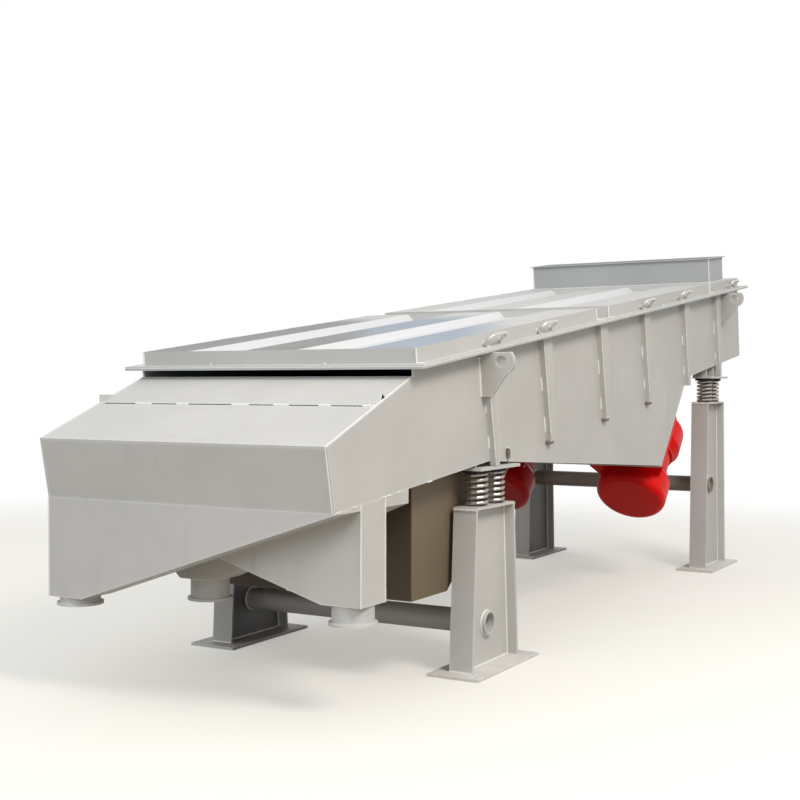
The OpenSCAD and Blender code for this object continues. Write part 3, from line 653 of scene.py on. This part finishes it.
class Grower(Tree):
    """A Geometry Nodes tree with named inputs."""

    def __init__(self, name, inputs):
        group = bpy.data.node_groups.new(name, "GeometryNodeTree")
        super().__init__(group)
        group.interface.new_socket("Geometry", in_out="INPUT", socket_type="NodeSocketGeometry")
        for label, kind in inputs:
            group.interface.new_socket(label, in_out="INPUT", socket_type="NodeSocket" + kind)
        group.interface.new_socket("Geometry", in_out="OUTPUT", socket_type="NodeSocketGeometry")
        given = group.nodes.new("NodeGroupInput")
        self.given = {socket.name: Value(self, socket) for socket in given.outputs if socket.name}

    def end(self, geometry):
        """Realizes what was made, gives it the material and hands it out."""
        real = self.add("GeometryNodeRealizeInstances", None, {0: geometry})
        painted = self.add("GeometryNodeSetMaterial", None, {0: real, "Material": self.given["Material"]})
        self.add("NodeGroupOutput", None, {0: painted})
        return self.tree


TREES = {}


def bead_tree():
    """Weld beads along edges: a swept round with ripples and an uneven width."""
    if "bead" not in TREES:
        t = Grower("weld_beads", (
            ("Radius", "Float"), ("Ripple", "Float"), ("Depth", "Float"), ("Seed", "Float"),
            ("Material", "Material")))
        line = t.add("GeometryNodeMeshToCurve", None, {0: t.given["Geometry"]})
        line = t.add("GeometryNodeResampleCurve", {"mode": "LENGTH"},
                     {"Curve": line, "Length": t.given["Ripple"] / 3})
        run = t.add("GeometryNodeSplineParameter", output="Length")
        ripple = (run / t.given["Ripple"] * (2 * math.pi)).sine() * t.given["Depth"]
        place = t.add("GeometryNodeInputPosition")
        uneven = t.add("ShaderNodeTexNoise", {"noise_dimensions": "4D"},
                       {"Vector": place, "W": t.given["Seed"], "Scale": 55.0, "Detail": 2.0})
        size = t.given["Radius"] * (0.60 + ripple + uneven * 0.80)
        round_bar = t.add("GeometryNodeCurvePrimitiveCircle", None, {"Resolution": 7, "Radius": 1.0})
        bead = t.add("GeometryNodeCurveToMesh", None, {
            "Curve": line, "Profile Curve": round_bar, "Scale": size, "Fill Caps": True})
        bead = t.add("GeometryNodeSetShadeSmooth", None, {0: bead})
        TREES["bead"] = t.end(bead)
    return TREES["bead"]


def bolt_tree():
    """Bolt heads on washers, one at each point, along the point's facing."""
    if "bolt" not in TREES:
        t = Grower("bolt_heads", (
            ("Head", "Float"), ("Height", "Float"), ("Washer", "Float"), ("Seed", "Int"),
            ("Material", "Material")))
        washer_t = t.given["Height"] * 0.28
        head = t.add("GeometryNodeMeshCylinder", None, {
            "Vertices": 6, "Radius": t.given["Head"] / 2, "Depth": t.given["Height"]})
        crown = t.add("GeometryNodeMeshCone", None, {
            "Vertices": 12, "Radius Top": t.given["Head"] * 0.36, "Radius Bottom": t.given["Head"] * 0.46,
            "Depth": t.given["Height"] * 0.16})
        washer = t.add("GeometryNodeMeshCylinder", None, {
            "Vertices": 18, "Radius": t.given["Washer"] / 2, "Depth": washer_t})
        lift = t.add("ShaderNodeCombineXYZ", None, {2: washer_t + t.given["Height"] / 2})
        head = t.add("GeometryNodeTransform", None, {0: head, "Translation": lift})
        lift = t.add("ShaderNodeCombineXYZ", None, {2: washer_t + t.given["Height"]})
        crown = t.add("GeometryNodeTransform", None, {0: crown, "Translation": lift})
        lift = t.add("ShaderNodeCombineXYZ", None, {2: washer_t / 2})
        washer = t.add("GeometryNodeTransform", None, {0: washer, "Translation": lift})
        joined = t.tree.nodes.new("GeometryNodeJoinGeometry")
        for part in (head, crown, washer):
            t.tree.links.new(part.socket, joined.inputs[0])
        facing = t.add("GeometryNodeInputNamedAttribute", {"data_type": "FLOAT_VECTOR"}, {"Name": "facing"})
        turn = t.add("FunctionNodeAlignRotationToVector", {"axis": "Z"}, {"Vector": facing})
        spin = t.add("FunctionNodeRandomValue", {"data_type": "FLOAT"}, {
            "Max": 2 * math.pi, "Seed": t.given["Seed"]}, 1)
        spin = t.add("FunctionNodeAxisAngleToRotation", None, {"Axis": (0.0, 0.0, 1.0), "Angle": spin})
        turn = t.add("FunctionNodeRotateRotation", {"rotation_space": "LOCAL"}, {0: turn, 1: spin})
        points = t.add("GeometryNodeMeshToPoints", None, {0: t.given["Geometry"]})
        set_out = t.add("GeometryNodeInstanceOnPoints", None, {
            "Points": points, "Instance": Value(t, joined.outputs[0]), "Rotation": turn})
        TREES["bolt"] = t.end(set_out)
    return TREES["bolt"]


def weld(name, lines, slot, radius=None, finish="weld"):
    """A piece of weld beads along lists of points."""
    settings = bpy.context.scene.screen_welds
    points, edges = [], []
    for line in lines:
        edges += [(len(points) + k, len(points) + k + 1) for k in range(len(line) - 1)]
        points += [tuple(p) for p in line]
    source = bpy.data.meshes.new(name)
    source.from_pydata(points, edges, [])
    mesh = grown(name, source, bead_tree(), {
        "Radius": radius or settings.radius, "Ripple": settings.ripple, "Depth": settings.depth,
        "Seed": float(settings.seed), "Material": finishes()[finish]})
    return keep(mesh, name)


def bolts(name, seats, scale=1.0):
    """A piece of bolt heads, from pairs of a point and the direction it faces."""
    settings = bpy.context.scene.screen_bolts
    source = bpy.data.meshes.new(name)
    source.from_pydata([tuple(p) for p, _ in seats], [], [])
    facing = source.attributes.new("facing", "FLOAT_VECTOR", "POINT")
    for k, (_, way) in enumerate(seats):
        facing.data[k].vector = way
    mesh = grown(name, source, bolt_tree(), {
        "Head": settings.head * scale, "Height": settings.height * scale,
        "Washer": settings.washer * scale, "Seed": settings.seed, "Material": finishes()["bolt"]})
    return keep(mesh, name)


def ring(centre, first, second, radius, count=28):
    """Closed circle of points about a centre, in the plane of two directions."""
    return [centre + radius * (first * math.cos(a) + second * math.sin(a))
            for a in (2 * math.pi * k / count for k in range(count + 1))]


def lathe(shape, centre, profile, way, count=32):
    """Adds a closed outline of radius and height, turned about the upright line through a centre."""
    rows = []
    for radius, rise in profile:
        circle = ring(centre + Z_WAY * way * rise, X_WAY, Y_WAY, radius, count)
        rows.append([shape.verts.new(point) for point in circle[:-1]])
    for row, following in zip(rows, rows[1:] + rows[:1]):
        for k in range(count):
            j = (k + 1) % count
            shape.faces.new((row[k], row[j], following[j], following[k])).smooth = True


def rubber_piece(shape, name):
    """Makes a closed shape a piece of the black rubber finish, which also paints the dark sheet of shade in
    the hood's seam.
    """
    bmesh.ops.recalc_face_normals(shape, faces=shape.faces)
    mesh = bpy.data.meshes.new(name)
    shape.to_mesh(mesh)
    shape.free()
    mesh.materials.append(finishes()["cup"])
    return keep(mesh, name)


def stitches(chance, start, end, count, share=0.62):
    """Short lines of uneven length at some of the places along the way from start to end."""
    way = end - start
    made = []
    for k in range(count):
        first = (k + chance.uniform(0.0, 0.45)) / count
        last = first + chance.uniform(0.25, 0.85) / count
        if chance.random() < share:
            made.append((start + way * first, start + way * min(last, 1.0)))
    return made


NODE_FINISH = {
    "base_plate": "base", "post": "post", "cross_tube_front": "post", "cross_tube_rear": "tube",
    "feed_box": "feed", "box_flange": "flange", "springs": "spring", "lid_handles": "bolt",
    "lid_seal": "rubber", "screen_decks": "wire", "motor_right": "motor", "motor_left": "motor",
    "front_lid": "lid", "middle_lid": "lid", "chute_4": "fines", "spout_4": "fines",
}


class SCREEN_OT_paint(bpy.types.Operator):
    """Give each solid of the screen its finish"""
    bl_idname = "vibrating_screen.paint"
    bl_label = "Paint solids"

    def execute(self, context):
        made = finishes()
        for name, node in NODES.items():
            kind = next((f for start, f in NODE_FINISH.items() if name.startswith(start)), "box")
            node.data.materials.clear()
            node.data.materials.append(made[kind])
        return {"FINISHED"}


def post_beads(low, high):
    """Lines of the beads on a post, from the corners of its box: at the feet and heads of its plates."""
    mid = (low + high) / 2
    foot = (high.y - low.y) / 2
    head_z = high.z - POST_T
    margin = 0.012
    foot_reach, head_reach = foot - margin, POST_TOP_HALF - margin
    lines = []
    for way in SIDES:
        foot_y = mid.y + way * foot
        head_y = mid.y + way * (POST_TOP_HALF + 0.001)
        face = mid.x + way * POST_T / 2
        lines += [
            ((low.x, foot_y, low.z), (high.x, foot_y, low.z)),
            ((low.x, head_y, head_z), (high.x, head_y, head_z)),
            ((face, mid.y - foot_reach, low.z), (face, mid.y + foot_reach, low.z)),
            ((face, mid.y - head_reach, head_z), (face, mid.y + head_reach, head_z))]
        for edge in SIDES:
            lines.append(((face, mid.y + edge * foot_reach, low.z),
                          (face, mid.y + edge * (POST_TOP_HALF - POST_T), head_z)))
    return lines


class SCREEN_OT_post_welds(bpy.types.Operator):
    """Weld beads at the feet and heads of the posts and round the cross tubes"""
    bl_idname = "vibrating_screen.post_welds"
    bl_label = "Post welds"

    def execute(self, context):
        lines = []
        for end in ("front", "rear"):
            for side in ("right", "left"):
                lines += post_beads(*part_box(f"post_{end}_{side}"))
            low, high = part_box(f"cross_tube_{end}")
            mid = (low + high) / 2
            for side in SIDES:
                for face in TUBE_WELD_X:
                    lines.append(ring(Vector((side * face, mid.y, mid.z)), Y_WAY, Z_WAY, TUBE_WELD_R))
        weld("post_welds", lines, "box_grey")
        return {"FINISHED"}


def bar_edge(k, way, n):
    """Place along the deck of a bar's front or rear edge at a level n."""
    share = (STIFF_TOP - n) / (STIFF_TOP - STIFF_LOW[k])
    return STIFF_S[k] + way * (STIFF_TOP_HALF + share * (STIFF_LOW_HALF - STIFF_TOP_HALF))


def bar_end(side, k):
    """Line of the dark bead round a bar's lower end, a weld darkened as painted shade below the end, from
    the side plate out and back to it.
    """
    inner, outer = side * (WALL + 0.002), side * (WALL + STIFF_OUT - 0.009)
    level = STIFF_LOW[k] - 0.005
    return [deck(x, STIFF_S[k] + way * STIFF_LOW_HALF, level)
            for x, way in ((inner, -1), (outer, -1), (outer, 1), (inner, 1))]


class SCREEN_OT_bar_welds(bpy.types.Operator):
    """Stitches, dark end welds with painted shade below the bars' ends, thin light beads as painted
    highlights along the bars' front arrises, welds of lugs and tabs, and dark beads of painted shade on the
    tabs' front faces
    """
    bl_idname = "vibrating_screen.bar_welds"
    bl_label = "Bar welds"

    def execute(self, context):
        lines, ends, arris_highlights = [], [], []
        chance = random.Random(context.scene.screen_welds.seed)
        uneven = 0.03
        free_ends = range(1, len(STIFF_S) - 2)
        for side in SIDES:
            for k in range(len(STIFF_S)):
                below_lug = k == 0
                top = LUG_LOW - 0.02 if below_lug else -0.05
                low = max(STIFF_LOW[k], -SIDE_DEPTH) + 0.012
                for way in SIDES:
                    start = deck(side * WALL, bar_edge(k, way, top), top)
                    end = deck(side * WALL, bar_edge(k, way, low), low)
                    for stitch in LUG_BAR_STITCHES if below_lug else BAR_STITCHES:
                        shares = [share + chance.uniform(-uneven, uneven) for share in stitch]
                        lines.append([start.lerp(end, share) for share in shares])
                out = side * (WALL + STIFF_OUT)
                # Painted highlight: a thin light bead along the bar's front arris.
                arris_highlights.append([deck(out, bar_edge(k, -1, n), n) for n in (top, low)])
                if k in free_ends:
                    ends.append(bar_end(side, k))
            for s in LUG_S:
                for face in (s, s + LUG_T):
                    lines.append([deck(side * WALL, face, n) for n in (SIDE_TOP - 0.02, LUG_LOW)])
            for n in TAB_ENDS:
                lines.append([deck(side * x, TAB_S, n) for x in (WALL, WALL + 0.014)])
            # Painted shade: a dark bead down the tab's front face.
            ends.append([deck(side * (WALL + 0.007), TAB_S - 0.001, n) for n in TAB_SHADE])
        weld("bar_welds", lines, "box_grey", radius=0.0050)
        # Welds below the bars' ends, darkened as painted shade.
        weld("bar_end_welds_and_shade", ends, "box_grey", radius=0.0085, finish="burnt")
        # Painted highlights: thin light beads along the bars' front arrises.
        weld("bar_arris_highlights", arris_highlights, "box_grey", radius=0.0020)
        return {"FINISHED"}


class SCREEN_OT_lid_welds(bpy.types.Operator):
    """Weld beads at the corners of the lid rims and of the feed box, and round the handles' feet"""
    bl_idname = "vibrating_screen.lid_welds"
    bl_label = "Lid welds"

    def execute(self, context):
        lines = []
        for ends in LID_ENDS:
            for side in SIDES:
                x = side * RIM_HALF
                for s in ends:
                    lines.append((deck(x, s, 0.001), deck(x, s, RIM_H)))
                    lines.append((deck(x, s, 0.0), deck(side * (RIM_HALF + 0.03), s, 0.0)))
        for side in SIDES:
            x = side * FEED_HALF
            lines.append([deck(x, s, RIM_H) for s in FEED_ENDS])
            for s in FEED_ENDS:
                lines.append((deck(x, s, RIM_H), deck(x, s, FEED_WELD_TOP)))
        for s in FEED_ENDS:
            lines.append((deck(-FEED_HALF, s, RIM_H), deck(FEED_HALF, s, RIM_H)))
        for side in SIDES:
            for s in HANDLE_S:
                for way in SIDES:
                    foot = deck(side * (RIM_HALF + 0.001), s + way * HANDLE_HALF, HANDLE_N)
                    lines.append(ring(foot, DECK_ALONG, DECK_UP, radius=0.0068, count=14))
        weld("lid_welds", lines, "lid_grey", radius=0.0034)
        return {"FINISHED"}


class SCREEN_OT_flange_slot_light(bpy.types.Operator):
    """Thin light bead in the slot between the lids' flanges and the box flange: painted light where the
    slot shows shade
    """
    bl_idname = "vibrating_screen.flange_sealant"
    bl_label = "Flange sealant"

    def execute(self, context):
        inset = 0.0015
        x, n = RIM_HALF + FLANGE_OUT - inset, -0.0055
        front, rear = -FLANGE_OUT + inset, DECK_LEN + FLANGE_OUT - inset
        corners = [deck(-x, front, n), deck(x, front, n), deck(x, rear, n), deck(-x, rear, n)]
        sides = list(zip(corners, corners[1:] + corners[:1]))
        # Painted light: a light bead fills the slot's shade.
        weld("flange_sealant", sides, "lid_grey", radius=0.0024)
        return {"FINISHED"}


class SCREEN_OT_hood_welds(bpy.types.Operator):
    """Stitches across the hood's open seam, beads on its right edges and stitches under the side plates"""
    bl_idname = "vibrating_screen.hood_welds"
    bl_label = "Hood welds"

    def execute(self, context):
        across_seam = [[HOOD_SEAM + X_WAY * x for x in stitch] for stitch in SEAM_STITCHES]
        weld("seam_stitches", across_seam, "box_grey", radius=0.0050)
        inner = X_WAY * (WALL - SIDE_T)
        lines = [(HOOD_TOP + inner, HOOD_FRONT + inner), (HOOD_FRONT + inner, CREASE + inner)]
        chance = random.Random(context.scene.screen_welds.seed)
        for side in SIDES:
            outer = X_WAY * side * WALL
            lines += stitches(chance, CREASE + outer, CREASE.lerp(SIDE_BEND, 0.6) + outer, 7)
        for x, down in SEAM_SPOTS:
            spot = HOOD_SEAM + X_WAY * x + HOOD_WAY * down
            lines.append((spot, spot + X_WAY * 0.008 + HOOD_WAY * 0.006))
        weld("hood_welds", lines, "box_grey", radius=0.0024)
        return {"FINISHED"}


class SCREEN_OT_seam_shade(bpy.types.Operator):
    """Dark sheet in the hood's open seam, as painted shade"""
    bl_idname = "vibrating_screen.seam_shade"
    bl_label = "Seam shade"

    def execute(self, context):
        across = X_WAY * (WALL - SIDE_T)
        along = HOOD_WAY * SEAM_HALF
        down = HOOD_WAY.cross(X_WAY).normalized()
        if down.z > 0:
            down = -down
        upper, lower = 0.0003, 0.0025
        shape = bmesh.new()
        corners = []
        for depth in (upper, lower):
            for end, way in ((-1, -1), (1, -1), (1, 1), (-1, 1)):
                corners.append(shape.verts.new(HOOD_SEAM + across * end + along * way + down * depth))
        for face in ((0, 1, 2, 3), (4, 5, 6, 7), (0, 1, 5, 4), (1, 2, 6, 5), (2, 3, 7, 6), (3, 0, 4, 7)):
            shape.faces.new([corners[k] for k in face])
        # Painted shade: a dark sheet just under the seam's opening.
        rubber_piece(shape, "seam_shade")
        return {"FINISHED"}


class SCREEN_OT_chute_welds(bpy.types.Operator):
    """Weld beads down the outer chutes' corners, round the spouts and at the motor seat's ends"""
    bl_idname = "vibrating_screen.chute_welds"
    bl_label = "Chute welds"

    def execute(self, context):
        lines = []
        for k in range(1, 5):
            low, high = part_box(f"spout_{k}")
            mid = (low + high) / 2
            lines.append(ring(Vector((mid.x, mid.y, high.z)), X_WAY, Y_WAY, SPOUT_WELD_R))
        for k, side in ((2, 1), (1, -1)):
            low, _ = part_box(f"chute_{k}")
            x = side * WALL
            for y in (low.y, low.y + CHUTE_DEPTH):
                edge = CREASE.z + (y - CREASE.y) / (SIDE_BEND.y - CREASE.y) * (SIDE_BEND.z - CREASE.z)
                lines.append(((x, y, low.z), (x, y, edge)))
        for side in SIDES:
            for z in SEAT_WELD_Z:
                lines.append([motor_frame(side * x, 0, z) for x in SEAT_WELD_X])
        weld("chute_welds", lines, "box_grey", radius=0.0025)
        return {"FINISHED"}


class SCREEN_OT_lid_bolts(bpy.types.Operator):
    """Bolts that hold the lids' flanges down"""
    bl_idname = "vibrating_screen.lid_bolts"
    bl_label = "Lid bolts"

    def execute(self, context):
        out = 0.03
        seats = [(deck(side * (RIM_HALF + out), s, 0), DECK_UP) for side in SIDES for s in LID_BOLT_S]
        seats += [(deck(x, -out, 0), DECK_UP) for x in FRONT_BOLT_X]
        bolts("lid_bolts", seats, scale=0.8)
        return {"FINISHED"}


class SCREEN_OT_motor_bolts(bpy.types.Operator):
    """Bolts through the motor feet and screws round the inner edges of the covers"""
    bl_idname = "vibrating_screen.motor_bolts"
    bl_label = "Motor bolts"

    def execute(self, context):
        feet, screws = [], []
        edge = MOTOR_COVER - 0.018
        for side in SIDES:
            for way in SIDES:
                for z in FOOT_BOLT_Z:
                    feet.append((motor_frame(side * MOTOR_X + way * FOOT_BOLT_X, FOOT_TOP, z), MOTOR_AWAY))
            for end in (MOTOR_LOW + edge, MOTOR_LOW + MOTOR_LEN - edge):
                for degrees in COVER_SCREW_DEGREES:
                    turn = math.radians(degrees)
                    out = X_WAY * math.cos(turn) + MOTOR_AWAY * math.sin(turn)
                    screws.append((motor_frame(side * MOTOR_X, MOTOR_AXIS, end) + out * MOTOR_R, out))
        bolts("foot_bolts", feet, scale=1.6)
        bolts("cover_screws", screws, scale=0.6)
        return {"FINISHED"}


class SCREEN_OT_spring_cups(bpy.types.Operator):
    """Rubber cups round the upper ends of the coil springs"""
    bl_idname = "vibrating_screen.spring_cups"
    bl_label = "Spring cups"

    def execute(self, context):
        for end in ("front", "rear"):
            shape = bmesh.new()
            for side in ("right", "left"):
                low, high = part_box(f"springs_{end}_{side}")
                for y in (low.y + SPRING_R, high.y - SPRING_R):
                    lathe(shape, Vector(((low.x + high.x) / 2, y, high.z)), CUP_PROFILE, -1)
            rubber_piece(shape, f"spring_cups_{end}")
        return {"FINISHED"}


# Camera that was fitted to the photo: turn about the upright, dip and place
CAMERA_TURN = math.radians(29.874)
CAMERA_DIP = math.radians(0.815)
CAMERA_PLACE = (2.7625, -5.7183, 1.1299)
SENSOR_MM = 36

# Soft lamps and the place that they are turned to
KEY_PLACE = (5.9, -3.6, 6.4)
KEY_SIZE = 2.6
FILL_PLACE = (0.8, -9.2, 3.8)
FILL_SIZE = 4.0
LIT_PLACE = Vector((0, 0.3, 0.8))


class SCREEN_OT_studio(bpy.types.Operator):
    """Camera, soft light, white surroundings and pale floor"""
    bl_idname = "vibrating_screen.studio"
    bl_label = "Studio"

    def execute(self, context):
        scene = context.scene
        studio = scene.screen_studio
        camera = bpy.data.objects.new("camera", bpy.data.cameras.new("camera"))
        scene.collection.objects.link(camera)
        camera.data.lens = studio.lens
        camera.data.sensor_width = SENSOR_MM
        camera.data.clip_end = 200
        right = Vector((math.cos(CAMERA_TURN), math.sin(CAMERA_TURN), 0))
        ahead = Vector((-right.y, right.x, 0))
        back = Z_WAY * math.sin(CAMERA_DIP) - ahead * math.cos(CAMERA_DIP)
        up = back.cross(right)
        camera.matrix_world = Matrix.Translation(CAMERA_PLACE) @ Matrix(
            (right, up, back)).transposed().to_4x4()
        scene.camera = camera

        for name, power, size, colour, place in (
                ("key", studio.key, KEY_SIZE, studio.key_tint, KEY_PLACE),
                ("fill", studio.fill, FILL_SIZE, studio.sky_tint, FILL_PLACE)):
            lamp = bpy.data.lights.new(name, "AREA")
            lamp.energy = power
            lamp.size = size
            lamp.color = colour
            light = bpy.data.objects.new(name, lamp)
            scene.collection.objects.link(light)
            light.location = place
            aim = LIT_PLACE - light.location
            light.rotation_euler = aim.to_track_quat("-Z", "Y").to_euler()

        world = bpy.data.worlds.new("white_room")
        world.use_nodes = True
        scene.world = world
        room = Tree(world.node_tree)
        seen = room.seen()
        way = room.add("ShaderNodeTexCoord", output="Object")
        rise = room.add("ShaderNodeSeparateXYZ", None, {0: way}, "Z")
        sky = studio.horizon + rise.maths("MAXIMUM", rise, 0.0) * studio.zenith
        strength = sky + seen * (1 - sky)
        tint = room.add("ShaderNodeMix", {"data_type": "RGBA"}, {
            0: seen, 6: (*studio.sky_tint, 1.0), 7: (1.0, 1.0, 1.0, 1.0)}, 2)
        background = room.tree.nodes["Background"]
        room.tree.links.new(strength.socket, background.inputs["Strength"])
        room.tree.links.new(tint.socket, background.inputs["Color"])

        half = studio.floor
        mesh = bpy.data.meshes.new("floor")
        corners = [(-half, -half, 0), (half, -half, 0), (half, half, 0), (-half, half, 0)]
        mesh.from_pydata(corners, [], [(0, 1, 2, 3)])
        mesh.materials.append(floor_finish(
            colour=srgb(244, 241, 234), bounce=(0.34, 0.30, 0.24), clear=(3.0, 6.5)))
        floor = bpy.data.objects.new("floor", mesh)
        scene.collection.objects.link(floor)
        scene.view_settings.view_transform = "Standard"
        return {"FINISHED"}


class SCREEN_PT_panel(bpy.types.Panel):
    """Buttons for the screen's pieces"""
    bl_idname = "SCREEN_PT_panel"
    bl_label = "Vibrating Screen"
    bl_space_type = "VIEW_3D"
    bl_region_type = "UI"
    bl_category = "Screen"

    def draw(self, context):
        for step in STEPS:
            self.layout.operator(step.bl_idname)


GROUPS = {
    "screen_paints": ScreenPaints,
    "screen_welds": ScreenWelds,
    "screen_bolts": ScreenBolts,
    "screen_studio": ScreenStudio,
}
STEPS = (
    SCREEN_OT_studio,
    SCREEN_OT_paint,
    SCREEN_OT_post_welds,
    SCREEN_OT_bar_welds,
    SCREEN_OT_lid_welds,
    SCREEN_OT_flange_slot_light,
    SCREEN_OT_hood_welds,
    SCREEN_OT_seam_shade,
    SCREEN_OT_chute_welds,
    SCREEN_OT_lid_bolts,
    SCREEN_OT_motor_bolts,
    SCREEN_OT_spring_cups,
)
CLASSES = (*GROUPS.values(), *STEPS, SCREEN_PT_panel)


def register():
    for cls in CLASSES:
        bpy.utils.register_class(cls)
    for name, group in GROUPS.items():
        setattr(bpy.types.Scene, name, bpy.props.PointerProperty(type=group))


def unregister():
    for name in GROUPS:
        delattr(bpy.types.Scene, name)
    for cls in reversed(CLASSES):
        bpy.utils.unregister_class(cls)


def main():
    """Makes the pieces in order."""
    register()
    for step in STEPS:
        group, name = step.bl_idname.split(".")
        getattr(getattr(bpy.ops, group), name)()


if __name__ == "__main__":
    main()
